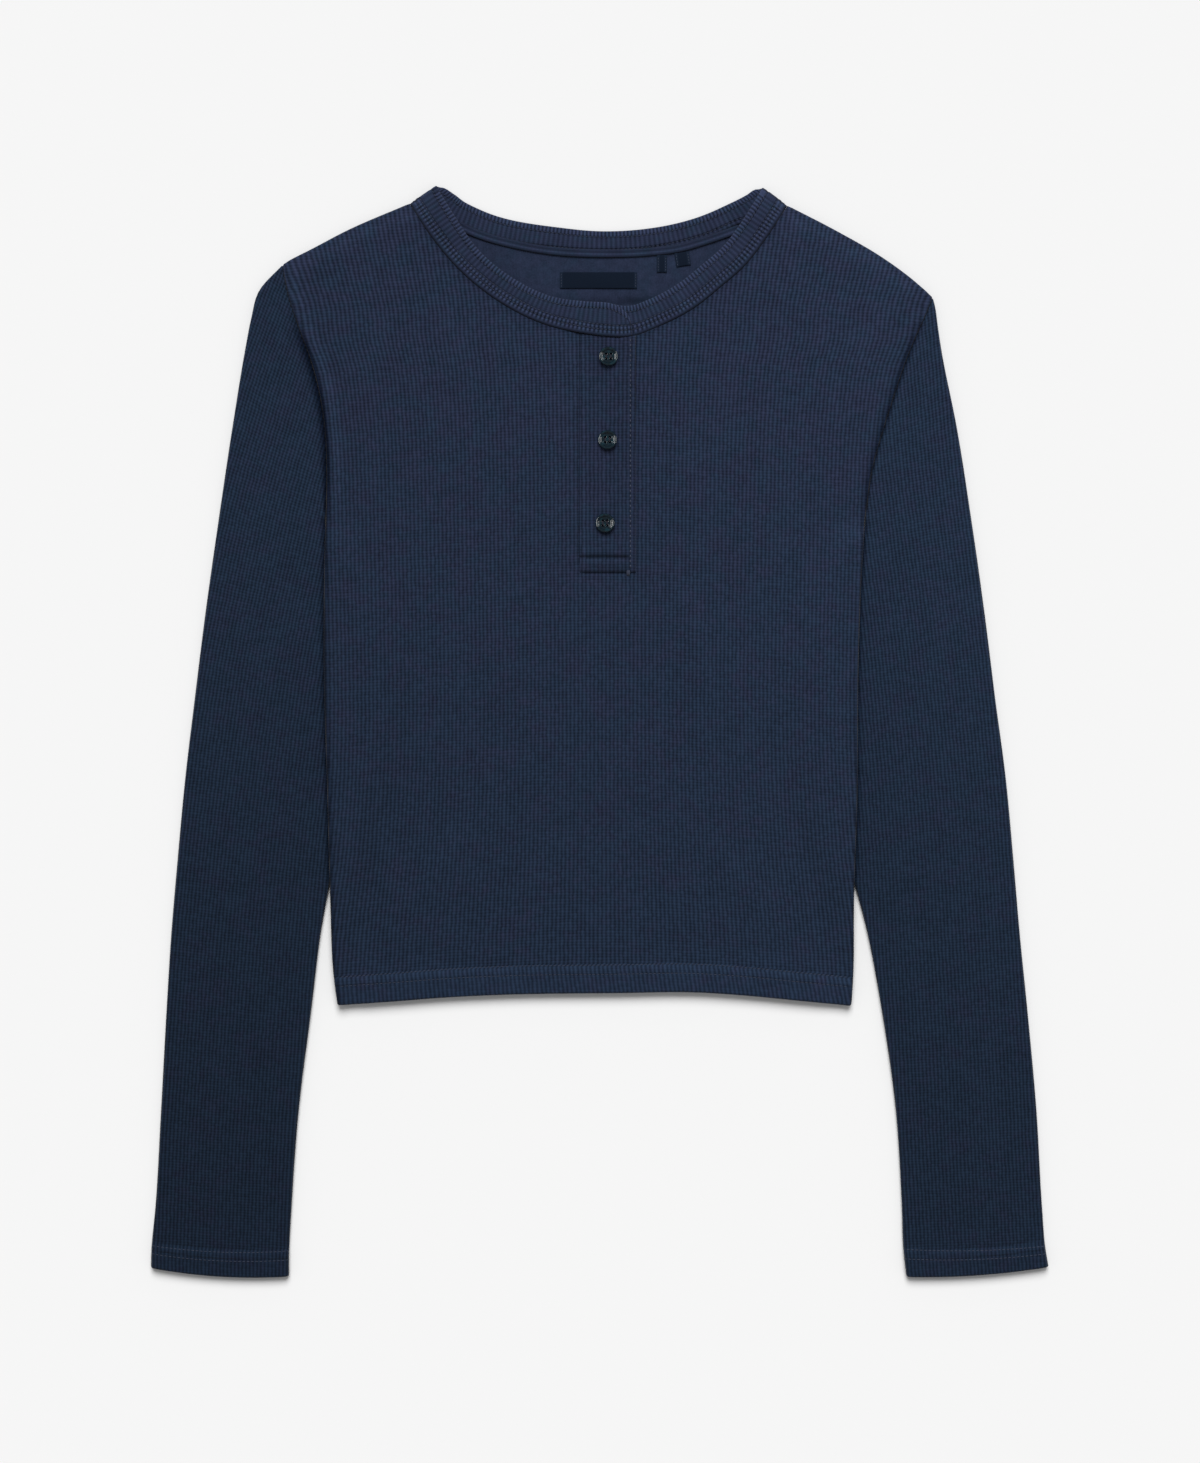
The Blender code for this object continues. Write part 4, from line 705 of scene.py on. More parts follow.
def tubes(name, starts, ends, arch, radius, look, segments=4, sides=5):
    """Many short arched threads in one mesh.

    Thread i runs from starts[i] to ends[i], raised in its middle by arch * 4t(1 - t), and its
    radius shrinks to nothing at both ends as the root of 1 - (2t - 1)^4.
    """
    t = np.linspace(0.0, 1.0, segments + 1)
    line = starts[:, None] + (ends - starts)[:, None] * t[None, :, None]
    line[..., 2] += arch * 4.0 * t * (1.0 - t)
    ahead = unit(ends - starts)
    side = unit(np.cross(ahead, [0.0, 0.0, 1.0]))[:, None]
    up = np.cross(side, ahead[:, None])
    thick = radius * np.sqrt(np.clip(1.0 - (2.0 * t - 1.0) ** 4, 0.04, 1.0))
    turn = (np.arange(sides) * 2 * np.pi / sides)[None, :, None]
    spoke = side * np.cos(turn) + up * np.sin(turn)
    points = line[:, :, None, :] + spoke[:, None, :, :] * thick[None, :, None, None]
    per = (segments + 1) * sides
    shift = (np.arange(len(starts)) * per)[:, None]
    ring = grid_faces(segments + 1, sides, around=True).reshape(-1, 4)[:, ::-1]
    body = (ring[None] + shift[:, :, None]).reshape(-1, 4)
    faces = [body, np.arange(sides)[None] + shift, np.arange(per - sides, per)[::-1][None] + shift]
    return add_piece(name, points.reshape(-1, 3), faces, look)


# --- front and back panels
QUARTER = np.pi / 2  # bend of a folded edge
PANEL_STEP = 2.6 * MM  # spacing of the panels' rows and columns away from their edges
HEM_ROW_STEP, HEM_ROWS_END = 0.95 * MM, 21 * MM  # closer rows over the turned hem
UNBEND_RUN = 16 * MM  # length above the armpit over which the side's fold lies down
SLIT_COLUMNS = 12
RIM_STEPS = np.array([0.0, 0.12, 0.35, 0.8, 1.4, 2.1]) * MM
TIP_STEPS = np.array([0.0, 3.6, 4.8, 6.2, 8.0, 10.2]) * MM
FRONT_SEAM = Path(columns(FRONT_NECK, "seam_x", "seam_y"))
BACK_SEAM = Path(columns(BACK_NECK, "seam_x", "seam_y"))


def bend(angle, length, steps):
    """Reach and drop along a strip of the given length that bends evenly through an angle."""
    turned = angle * steps
    safe = np.where(np.abs(angle) < 1e-6, 1e-6, angle)
    reach = np.where(np.abs(angle) < 1e-6, length * steps, length / safe * np.sin(turned))
    drop = np.where(np.abs(angle) < 1e-6, 0.0, length / safe * (1.0 - np.cos(turned)))
    return reach, drop, turned


PLAN, HEIGHT, LEAN, FLAT, THIN = slice(0, 2), 2, slice(3, 6), slice(6, 8), 8  # a panel's columns


def fold_strip(plan, outward, angle, radius, first_height, sign):
    """The strip beside an edge: plan points, heights, wall directions, flattened plan, thinning.

    It bends evenly through the angle. Where it lies flat, its wall thins to a rounded rim instead.
    """
    length = radius[:, None] * np.pi / 2
    steps = np.arange(1, FOLD_STEPS + 1)[None] / FOLD_STEPS
    reach, drop, turned = bend(angle[:, None], length, steps)
    rim = rim_share(length * (1.0 - steps), KNIT / 2)
    strip = np.empty(reach.shape + (9,))
    strip[..., PLAN] = plan[:, None] + outward[:, None] * reach[..., None]
    strip[..., HEIGHT] = first_height[:, None] - sign * drop
    strip[..., LEAN][..., :2] = unit(outward)[:, None] * np.sin(turned)[..., None]
    strip[..., LEAN][..., 2] = sign * np.cos(turned)
    strip[..., FLAT] = plan[:, None] + outward[:, None] * (length * steps)[..., None]
    strip[..., THIN] = blend(rim, 1.0, ramp(0.5, angle)[:, None])
    return strip


def edge_inset(angle, radius, wall):
    """How far inside its outline an edge's rounded strip starts."""
    reach, _, _ = bend(angle, radius * np.pi / 2, np.ones_like(angle))
    return reach + wall / 2 * np.sin(angle) + HALF_GAP * np.cos(angle)


def neck_shares(path, slit):
    """Shares of a neck seam at the panel's columns, how far each is from an ear, and the slit."""
    length = path.length()
    near = NEAR_EAR / length
    if slit:
        right, left = path.share_at(SLIT_RIGHT), path.share_at(SLIT_LEFT)
        count = int((right - near) * length / PANEL_STEP)
        parts = [np.linspace(near, right, count)[:-1], np.linspace(right, left, SLIT_COLUMNS + 1),
                 np.linspace(left, 1.0 - near, count)[1:]]
        opening = (count, count + SLIT_COLUMNS)
    else:
        parts = [np.linspace(near, 1.0 - near, int((1.0 - 2 * near) * length / PANEL_STEP))]
        opening = None
    shares = np.concatenate([[0.0], *parts, [1.0]])
    return shares, np.minimum(shares, 1.0 - shares) * length, opening


def miter(first, second):
    """The vector that is one unit along both of two unit normals."""
    return (first + second) / (1.0 + first @ second)


def panel_rows():
    """Share of the panel's height at each row, and the side outlines' points and bends there."""
    middle = (SLIT_RIGHT + SLIT_LEFT) / 2
    hem_y, neck_y = HEM_PATH.value(middle), FRONT_SEAM.value(middle)
    foot = (SLIT_FOOT - hem_y) / (neck_y - hem_y)
    side_length, arm_length = SIDE_PATHS[-1].length(), ARMHOLE_PATHS[-1].length()
    hem_rows = spaced(RIM_STEPS, HEM_ROW_STEP, HEM_ROWS_END)
    side = spaced(hem_rows, PANEL_STEP, side_length) / side_length
    arm = np.delete(np.linspace(0.0, 1.0, int(arm_length / (PANEL_STEP * 0.85))), [0, -2])
    shares = np.concatenate([side * foot, blend(foot, 1.0, arm)])
    past = np.concatenate([(side - 1.0) * side_length, arm * arm_length]) + TUCK_START
    bends = QUARTER * (1.0 - ramp(TUCK_START + UNBEND_RUN, past))
    outlines, normals = {}, {}
    for which in SIDES:
        outlines[which] = np.concatenate([SIDE_PATHS[which].at(side), ARMHOLE_PATHS[which].at(arm)])
        normals[which] = np.concatenate([SIDE_PATHS[which].normal(side, (which, 0.0)),
                                         ARMHOLE_PATHS[which].normal(arm, (which, 0.2))])
    return shares, len(side) - 1, bends, outlines, normals


def top_edge(neck_path, slit):
    """The panel's upper edge from tip to tip: points, outward directions, bends, ears and slit."""
    length = SHOULDER_PATHS[-1].length()
    steps = spaced(TIP_STEPS, PANEL_STEP, length) / length
    at_neck, from_ear, opening = neck_shares(neck_path, slit)
    neck = neck_path.at(at_neck)
    west, east = SHOULDER_PATHS[-1].at(steps), SHOULDER_PATHS[1].at(steps[::-1])
    top = np.concatenate([west[:-1], neck, east[1:]])
    first_ear, last_ear = len(west) - 1, len(west) + len(neck) - 2
    bends = np.full(len(top), QUARTER)
    bends[first_ear:last_ear + 1] = QUARTER * (1.0 - ramp(NEAR_EAR, from_ear))
    west_out = SHOULDER_PATHS[-1].normal(steps, (-0.4, 1.0))
    east_out = SHOULDER_PATHS[1].normal(steps[::-1], (0.4, 1.0))
    neck_out = neck_path.normal(at_neck, (0.0, 1.0))
    neck_out[0] = neck_path.normal([0.0], (1.0, 0.5))[0]
    neck_out[-1] = neck_path.normal([1.0], (-1.0, 0.5))[0]
    out = np.concatenate([west_out[:-1], neck_out, east_out[1:]])
    out[first_ear] = miter(west_out[-1], neck_out[0])
    out[last_ear] = miter(east_out[0], neck_out[-1])
    return top, out, bends, neck, first_ear, last_ear, opening


def panel(name, look, neck_path, sign, middle_height):
    """One body panel: sign is 1 for the front, whose edges curl down, and -1 for the back.

    The flat part is a patch: share s of the way up, each column runs from the hem to the
    shoulders or neck, and is pulled sideways by the curve of the side outlines. Rounded strips of
    a quarter circle run along the sides and shoulders; at the armholes and neck they lie flat.
    """
    shares, armpit_row, bends, outlines, normals = panel_rows()
    top, top_out, top_bend, neck, first_ear, last_ear, opening = top_edge(neck_path, sign > 0)
    top_radius = np.full(len(top), (KNIT + AIR) / 2 - HALF_GAP)
    top_inset = edge_inset(top_bend, top_radius, knit_wall(*top.T))
    row_wall = knit_wall(*outlines[-1].T)
    row_radius = (row_wall + knit_air(*outlines[-1].T)) / 2 - HALF_GAP
    inset = edge_inset(bends, row_radius, row_wall)
    patch_top = top - top_out * top_inset[:, None]
    patch_side = {}
    for which, corner in ((-1, 0), (1, -1)):
        out = normals[which]
        patch_side[which] = outlines[which] - out * inset[:, None]
        arm_out, top_normal = out[-1].copy(), top_out[corner].copy()
        along_arm = np.array([-arm_out[1], arm_out[0]])
        along_top = np.array([-top_normal[1], top_normal[0]])
        top_out[corner] = along_arm / (along_arm @ top_normal)
        out[-1] = along_top / (along_top @ arm_out)
        tip = outlines[which][-1] - top_out[corner] * top_inset[corner] - out[-1] * inset[-1]
        patch_side[which][-1] = patch_top[corner] = tip

    spread = np.maximum(np.abs(patch_top[:, 0]) - STRAIGHT_HALF_WIDTH, 0.0)
    right_half = patch_top[:, 0] < 0
    widest, corner_x, corner_top = (
        np.where(right_half, *ends) for ends in ((spread[0], spread[-1]), (patch_side[-1][0, 0],
                                                 patch_side[1][0, 0]), (patch_top[0, 0], patch_top[-1, 0])))
    hem_x = patch_top[:, 0] + (corner_x - corner_top) * (spread / widest) ** 2
    hem = np.stack([hem_x, HEM_PATH.value(hem_x)], axis=1)
    hem[0], hem[-1] = patch_side[-1][0], patch_side[1][0]

    plan = blend(hem[None], patch_top[None], shares[:, None, None])
    for which, corner in ((-1, 0), (1, -1)):
        chord = blend(hem[corner], patch_top[corner], shares[:, None])
        curved = abs(hem_x[corner]) - STRAIGHT_HALF_WIDTH
        pull = 1.0 - ramp(1.0, np.abs(hem_x - hem_x[corner]) / curved)
        plan = plan + (patch_side[which] - chord)[:, None] * pull[None, :, None]
    height = middle_height(plan[..., 0], plan[..., 1])

    rows, cols = plan.shape[:2]
    extra = FOLD_STEPS
    sheet = np.zeros((rows + extra, cols + 2 * extra, 9))
    flat = sheet[:rows, extra:-extra]
    flat[..., PLAN], flat[..., FLAT], flat[..., HEIGHT] = plan, plan, height
    flat[..., LEAN], flat[..., THIN] = (0.0, 0.0, sign), 1.0
    strip = fold_strip(patch_top, top_out, top_bend, top_radius, height[-1], sign)
    sheet[rows:, extra:-extra] = strip.transpose(1, 0, 2)
    for which, corner, place in ((-1, 0, slice(extra - 1, None, -1)), (1, -1, slice(cols + extra, None))):
        strip = fold_strip(patch_side[which], normals[which], bends, row_radius, height[:, corner], sign)
        sheet[:rows, place] = strip
        tip = sheet[rows:, place]
        tip[:] = sheet[rows:, extra + corner % cols][:, None]
        tip[..., PLAN] += strip[-1][:, PLAN] - patch_side[which][-1]
        tip[..., FLAT] = tip[..., PLAN]
        tip[..., THIN] = strip[-1][:, THIN]

    x, y = sheet[..., 0], sheet[..., 1]
    rise = np.maximum(hem_rise(x, y), 0.0)
    wall = knit_wall(x, y) * sheet[..., THIN] * rim_share(rise, HEM_KNIT * 0.5)
    kept = np.ones((rows + extra - 1, cols + 2 * extra - 1), dtype=bool)
    if opening:
        left, right = (extra + first_ear + at for at in opening)
        kept[armpit_row:, left:right] = False
    # painted shadow along the armholes, sides and neck seam, and painted light on the roll, go to the
    # material as fields
    inside, depth, spread, roll = body_seams(x, y)
    neck_part = slice(extra + first_ear, extra + last_ear + 1)
    from_neck = np.linalg.norm(sheet[:, neck_part, PLAN] - neck[None], axis=-1)
    nearer = from_neck < inside[:, neck_part]
    for field, value in ((inside, from_neck), (depth, NECK_LINE[0]), (spread, NECK_LINE[1])):
        field[:, neck_part] = np.where(nearer, value, field[:, neck_part])
    grain = body_grain(sheet[..., 6], sheet[..., 7])
    return wall_piece(name, sheet[..., :3], sheet[..., LEAN], wall, look, grain, kept, rise=rise,
                      tone=1.0 + roll, seam=inside, depth=depth, spread=spread)

# --- sleeves
SLEEVE_CREASES = {-1: CREASES_RIGHT_SLEEVE, 1: CREASES_LEFT_SLEEVE}
SLEEVE_NAMES = {-1: "sleeve_right", 1: "sleeve_left"}
SLEEVE_STEP = 2.7 * MM
SLEEVE_COLUMNS = 40
SLEEVE_TURN = 7  # points round each folded edge
SLEEVE_GIVE = 0.16  # share of the width that moves in to make room for a folded edge
CROWDING = 0.07  # how much closer the columns lie at both edges
CUFF_BULGE_RUN = 0.12
CAP_STEPS = np.array([0.0, 0.6, 1.3, 2.2, 3.3]) * MM
CAP_ROWS = 6  # places of a sleeve's table over which its rings swing to the armhole


def sleeve_rings(side):
    """Rings of a flattened tube from the cuff to the armhole, turned up double at the cuff.

    Each ring is cut along a line from the outer to the inner edge; its section is two flat
    lengths joined by half circles, the upper one lofted by sin^2 across it. Towards the body the
    rings swing round and take the armhole's curve, so that the last ring lies along the seam.
    """
    outer, inner, crown = SLEEVE_PATHS[side]
    armhole = ARMHOLE_PATHS[side]
    even = np.linspace(0.0, 1.0, SLEEVE_COLUMNS)
    across = even - CROWDING * np.sin(2.0 * np.pi * even)
    run = outer.length()
    stations = spaced(spaced(RIM_STEPS, 1 * MM, 22 * MM), SLEEVE_STEP, run, CAP_STEPS) / run
    stations[-1] = 1.0
    seam = armhole.at(1.0 - across) - armhole.normal(1.0 - across, (side, 0.2)) * (HALF_GAP - TOUCH)
    start, end = outer.at(stations), inner.at(stations)
    start[-1], end[-1] = seam[0], seam[-1]
    chord = end - start
    swing = smoothstep(outer.knots[-CAP_ROWS], 1.0, stations)[:, None] ** 2
    bow = seam - (seam[0] + (seam[-1] - seam[0]) * across[:, None])
    line = start[:, None] + chord[:, None] * across[None, :, None] + bow[None] * swing[..., None]
    down = unit(np.stack([-chord[:, 1], chord[:, 0]], axis=1))
    down = down * -np.sign(down[:, 1:])
    bulge = CUFF_BULGE[side] * (1.0 - ramp(CUFF_BULGE_RUN, stations))[:, None]
    line = line + down[:, None] * (bulge * 4.0 * across * (1.0 - across))[..., None]

    turned_up = hem_share(stations * run, CUFF_HEIGHT)[:, None]
    wall = blend(KNIT, HEM_KNIT, turned_up)
    flat = 2.0 * wall + blend(AIR, HEM_AIR, turned_up)
    radius = flat / 2
    calm = ramp(0.10, stations) * ramp(0.30, 1.0 - stations)
    loft = np.sin(np.pi * np.clip(across / crown.at(stations), 0.0, 1.0)) ** 2 * SLEEVE_LOFT * calm[:, None]

    out_start, out_end = unit(line[:, 0] - line[:, 1]), unit(line[:, -1] - line[:, -2])
    for out, share in ((out_start, across), (out_end, 1.0 - across)):
        taken = radius * np.clip(1.0 - share / SLEEVE_GIVE, 0.0, 1.0)
        line = line - out[:, None] * taken[..., None]

    x, y = line[..., 0], line[..., 1]
    tuck_y, tuck_reach, tuck_shift = ARMPIT_TUCK
    x -= side * tuck_shift * bell(y - tuck_y, tuck_reach) * bell(x - side_x(side, y), tuck_reach)
    shelter = ramp(0.06, across) * ramp(0.06, 1.0 - across)
    rise = np.linalg.norm(line - line[:1], axis=-1)
    gap = np.linalg.norm(line - line[-1:], axis=-1)
    fading = ramp(14 * MM, (1.0 - stations) * run)[:, None]
    crease = crease_height(SLEEVE_CREASES[side], x, y) * fading + puffed(rise, CUFF_HEIGHT)
    upper = flat + loft + crease * shelter - SEAM_SINK * bell(gap, SEAM_RUN) * swing

    rim = rim_share(stations * run, HEM_KNIT * 0.5)[:, None] * rim_share(gap, KNIT / 2)
    shrink = wall / 2 * (1.0 - rim)
    turn = np.radians(np.linspace(-90.0, 90.0, SLEEVE_TURN + 2)[1:-1])
    layers = []
    for depth in (shrink, wall - shrink):
        edges = []
        for end, out in ((0, out_start), (-1, out_end)):
            inner_depth, middle = depth[:, end][:, None], upper[:, end][:, None] / 2
            lift = middle + (middle - inner_depth) * np.sin(turn)
            reach = (radius - inner_depth) * np.cos(turn)
            plan = line[:, end][:, None] + out[:, None] * reach[..., None]
            edges.append(raised(plan, lift))
        bottom = raised(line[:, ::-1], depth[:, ::-1])
        top = raised(line, (upper - depth))
        layers.append(np.concatenate([bottom, edges[0], top, edges[1][:, ::-1]], axis=1))
    arc = (radius * (np.pi / 2 - np.abs(turn)))[..., None]
    spreads = [line[:, end][:, None] + out[:, None] * arc for end, out in ((0, out_start), (-1, out_end))]
    spread = np.concatenate([line[:, ::-1], spreads[0], line, spreads[1][:, ::-1]], axis=1)

    above = smoothstep(-0.01, 0.01, y - ARMPIT_Y)
    seam_line, edge_line = SEAM_LINES[side], EDGE_LINES[side]
    from_body = np.abs(x - side_x(side, y)) + np.maximum(y - ARMPIT_Y, 0.0)
    # painted shadow beside the armhole seam and along the body's edge, passed to the material as fields
    fields = {
        "rise": rise,
        "seam": np.minimum(gap, from_body),
        "depth": blend(edge_line.depth, seam_line.depth * (1.0 - smoothstep(*LINE_END, y)), above),
        "spread": blend(edge_line.sleeve_spread, seam_line.sleeve_spread, above) * MM,
        "tone": np.ones_like(rise),
    }
    for key, value in fields.items():
        first, last = (np.repeat(value[:, [end]], SLEEVE_TURN, axis=1) for end in (0, -1))
        fields[key] = np.concatenate([value[:, ::-1], first, value, last], axis=1)
    return layers, spread, fields, stations * run


def sleeve(side, look):
    """The sleeve's mesh: its outer and inner rings, joined round the cuff and the armhole."""
    layers, spread, fields, _ = sleeve_rings(side)
    levels, count = fields["rise"].shape
    ring = grid_faces(levels, count, around=True)
    under = levels * count
    flat_ring = ring.reshape(-1, 4)
    faces = [flat_ring, flat_ring[:, ::-1] + under]
    for row, turned in ((ring[0][:, [0, 1]], 1), (ring[-1][:, [3, 2]], -1)):
        rim = np.stack([row[:, 1], row[:, 0], row[:, 0] + under, row[:, 1] + under], axis=1)
        faces.append(rim[:, ::turned])
    points = np.concatenate(layers).reshape(-1, 3)
    lean = np.concatenate([layers[0] - layers[0].mean(axis=1, keepdims=True)] * 2).reshape(-1, 3)
    faces = turned_out(points, flat_ring, faces, lean)
    uv = np.tile(sleeve_grain(side, spread[..., 0], spread[..., 1]).reshape(-1, 2), (2, 1))
    fields = {key: np.tile(value.ravel(), 2) for key, value in fields.items()}
    return add_piece(f"{SLEEVE_NAMES[side]}_cloth", points, faces, look, uv, **fields)


# --- neckband
BAND_RIB = 2.88 * MM  # spacing of the band's ribs
BAND_COLUMN = BAND_RIB / 8
TWIN_PITCH = 2.42 * MM  # spacing of the twin stitches by the seam
EDGE_PITCH = 2.28 * MM  # spacing of the ticks along the free edge
BAND_LEVELS = np.array([0.0, 0.008, 0.03, 0.07, 0.115, 0.155, 0.19, 0.225, 0.26, 0.295, 0.33, 0.375,
                        0.43, 0.5, 0.57, 0.64, 0.70, 0.745, 0.785, 0.82, 0.87, 0.93, 0.97, 0.992, 1.0])
TWIN_ROWS = (2.6 * MM, 5.2 * MM)  # raised rows beside the seam, from the seam inwards
TWIN_GROOVES = (3.9 * MM, 6.7 * MM)  # stitched grooves between and beside them
EDGE_GROOVE = 3.7 * MM  # stitched groove inside the free edge
BACK_GROOVE = 2.9 * MM
EAR_STEPS = 22
UPPER_END_X, UNDER_END_X = 19.2 * MM, -4 * MM  # where the band's two ends lie over the placket
ROUND_OFF_X = 4 * MM  # where the upper end's free edge starts to round off


def band_lap(x):
    """Extra rise of the band's upper end towards its free end."""
    return BAND_LAP * smoothstep(-23 * MM, -8.5 * MM, x)


def under_lap(x):
    """How far the band's under end lies below the plain band."""
    return (BAND + SEAM_GAP - BAND_LAP) * (1.0 - smoothstep(20 * MM, 46 * MM, x))


def ear_fold(seam, edge, outward, front_height, back_height, back_start):
    """Sections of the band round the fold at an ear: seam points, edge points, heights, lean.

    The upper half turns a quarter circle outwards; the lower half turns back to where the back
    part starts, by 1 - cos of its angle.
    """
    radius = (front_height - back_height) / 2
    turn = np.radians(np.linspace(90.0, -90.0, EAR_STEPS))
    cos, sin = np.cos(turn), np.sin(turn)
    lines = []
    for point, start in zip((seam, edge), back_start):
        upper = point + outward * (radius * cos - radius - BAND / 2)[:, None]
        widest = point - outward * BAND / 2
        lower = widest + (start - widest) * (1.0 - cos)[:, None]
        lines.append(np.where(turn[:, None] < 0.0, lower, upper))
    height = (front_height + back_height) / 2 + radius * sin
    return *lines, height, np.stack([outward[0] * cos, outward[1] * cos, sin], axis=1)


def band_sections():
    """Outer points, free-edge points, heights and lean of the band, from its upper end onwards."""
    seam, edge = FRONT_SEAM, Path(columns(FRONT_NECK, "edge_x", "edge_y"), FRONT_SEAM.knots)
    back_seam, back_edge = BACK_SEAM, Path(columns(BACK_NECK, "edge_x", "edge_y"), BACK_SEAM.knots)
    near, back_near = NEAR_EAR / seam.length(), NEAR_EAR / back_seam.length()
    upper_end, under_end, round_off = map(seam.share_at, (UPPER_END_X, UNDER_END_X, ROUND_OFF_X))
    step = BAND_COLUMN / seam.length()
    right = np.linspace(upper_end, near, int((upper_end - near) / step))
    left = np.linspace(1.0 - near, under_end, int((1.0 - near - under_end) / step))
    back = np.linspace(back_near, 1.0 - back_near, int(back_seam.length() / BAND_COLUMN))

    def front_part(at, lapped):
        outer, free = seam.at(at), edge.at(at)
        outer = outer - seam.normal(at, (0.0, 1.0)) * (HALF_GAP - TOUCH)
        if lapped:
            turn = np.clip((at - round_off) / (upper_end - round_off), 0.0, 1.0)
            free = blend(free, outer, 0.5 * (1.0 - np.sqrt(1.0 - turn**2))[:, None])
        height = front_base(outer[:, 0], outer[:, 1]) + BAND_RISE
        height = height + (band_lap(outer[:, 0]) if lapped else -under_lap(outer[:, 0]))
        return outer, free, height, np.tile([0.0, 0.0, 1.0], (len(at), 1))

    outer = back_seam.at(back) - back_seam.normal(back, (0.0, 1.0)) * (HALF_GAP - TOUCH)
    lean = np.tile([0.0, 0.0, -1.0], (len(back), 1))
    back_part = (outer, back_edge.at(back), np.full(len(back), BAND / 2), lean)

    def ear(side, end):
        row = FRONT_NECK[end]
        seam_point = np.array([row.seam_x, row.seam_y]) * MM
        edge_point = np.array([row.edge_x, row.edge_y]) * MM
        across = unit(edge_point - seam_point)
        outward = np.array([across[1], -across[0]]) * side
        seam_point = seam_point - across * (HALF_GAP - TOUCH)
        inside = seam_point - outward * (BAND + KNIT + AIR) / 2
        front_height = float(front_base(inside[:1], inside[1:])[0]) + BAND_RISE
        back_start = (back_part[0][end], back_part[1][end])
        return ear_fold(seam_point, edge_point, outward, front_height, BAND / 2, back_start)

    last_ear = [part[::-1] for part in ear(1, -1)]
    parts = [front_part(right, True), ear(-1, 0), back_part, last_ear, front_part(left, False)]
    return tuple(np.concatenate(pieces) for pieces in zip(*parts))


def band_surface():
    """The band's middle points, lean, wall and tone on a grid of levels across by sections along.

    The wall swells with a wave along the band for the ribs, with bells across it for the twin
    rows and their grooves; the tone follows the same waves, as painted light on the crests and
    painted shade in the grooves, with a painted shadow along the seam.
    """
    outer, free, height, lean = band_sections()
    plan = blend(outer[None], free[None], BAND_LEVELS[:, None, None])
    width = np.linalg.norm(free - outer, axis=1)[None]
    along = run_along(raised((outer + free) / 2, height))[None]
    in_d = BAND_LEVELS[:, None] * width
    from_edge = width - in_d
    front = smoothstep(-0.2, 0.2, lean[:, 2])[None]

    ribs, twin = wave(along, BAND_RIB), wave(along, TWIN_PITCH)
    ticks = wave(along + 0.3 * BAND_RIB, EDGE_PITCH)
    in_twin = front * (1.0 - smoothstep(7 * MM, 7.6 * MM, in_d))
    in_edge = 1.0 - smoothstep(3.3 * MM, 3.9 * MM, from_edge)
    plain = (1.0 - in_twin) * (1.0 - in_edge) * (ribs - 0.5)
    rows = sum(bell(in_d - at, 0.85 * MM) for at in TWIN_ROWS)
    grooves = sum(bell(in_d - at, 0.42 * MM) for at in TWIN_GROOVES) * front
    grooves = grooves + bell(from_edge - EDGE_GROOVE, 0.5 * MM)
    grooves = np.clip(grooves + (1.0 - front) * bell(in_d - BACK_GROOVE, 0.6 * MM), 0.0, 1.0)

    swell = plain * 0.42 + in_twin * rows * (twin * 0.46 - 0.05) + in_edge * (ticks - 0.4) * 0.42
    swell = swell - grooves * (0.5 + 0.22 * twin)
    tone = 1.0 + plain * 0.55 + in_twin * (rows * (twin * 1.9 - 0.62) - 0.08)
    tone = tone + in_edge * (ticks * 1.35 - 0.45) - grooves * (0.80 - 0.35 * twin)
    # painted shadow along the band's seam
    tone = tone - 0.42 * bell(in_d, 0.8 * MM)
    full = ramp(0.3, BAND_LEVELS) * ramp(0.3, 1.0 - BAND_LEVELS)
    rims = rim_share(in_d, BAND_EDGE * 0.45) * rim_share(from_edge, BAND_EDGE * 0.45)
    wall = blend(BAND_EDGE, BAND, full)[:, None] + swell * MM
    wall = wall * (1.0 - (1.0 - rims) * lean[None, :, 2] ** 2)
    wall = wall * rim_share(np.minimum(along, along[:, -1:] - along), BAND_EDGE * 0.45)
    size = in_d.shape
    middle = raised(plan, np.broadcast_to(height, size))
    uv = np.stack([np.broadcast_to(along, size), in_d], axis=-1)
    return middle, np.broadcast_to(lean, size + (3,)), wall, tone, uv


def neckband(look):
    """One strip round the neck, from its upper end over the placket to its under end."""
    middle, lean, wall, tone, uv = band_surface()
    return wall_piece("neckband_cloth", middle, lean, wall, look, uv, tone=tone)


# --- placket
PLACKET_TAPER = 4.5 * MM  # width over which the strip grows out of its inner edge
EDGE_STITCH_X = 18.1 * MM
PLACKET_FOLDS = (  # x, y, width, length and height of the strip's soft folds, in millimetres
    (21.0, 211.0, 3.0, 20.0, 0.7),    # its free edge stands off beside the top button
    (4.0, 215.7, 11.0, 2.2, -0.16),
    (2.0, 208.3, 10.0, 2.0, -0.14),
)


def placket_rise(x, y):
    """Rise of the upper placket's middle over the front panel's middle."""
    lap = np.maximum(smoothstep(11 * MM, SLIT_LEFT - 0.4 * MM, x),
                     1.0 - smoothstep(SLIT_FOOT + 0.3 * MM, SLIT_FOOT + 5 * MM, y))
    return blend(PLACKET_RISE, PLACKET_LAP, lap)


def foot_share(y):
    """Share of the strip's wall that is left towards its foot."""
    return 0.55 + 0.45 * ramp(5 * MM, y - PLACKET_FOOT)


def fold_taper(x):
    """0 at the strip's folded inner edge and 1 where it has its full thickness."""
    return ramp(PLACKET_TAPER, x - SLIT_RIGHT)


def placket_middle(x, y):
    """z of the upper strip's middle: its rise, a taper by the fold, soft folds and a lifted edge."""
    height = front_base(x, y) + placket_rise(x, y)
    height = height - 0.5 * MM * (1.0 - fold_taper(x)) - PLACKET / 2 * (1.0 - foot_share(y))
    for place_x, place_y, width, length, lift in PLACKET_FOLDS:
        across = bell(x - place_x * MM, width * MM)
        height = height + lift * MM * across * bell(y - place_y * MM, length * MM)
    for spot in BUTTONS:
        reach = np.hypot(x - spot.x * MM, y - spot.y * MM)
        height = height - 0.22 * MM * bell(reach, 6.5 * MM)
    return height


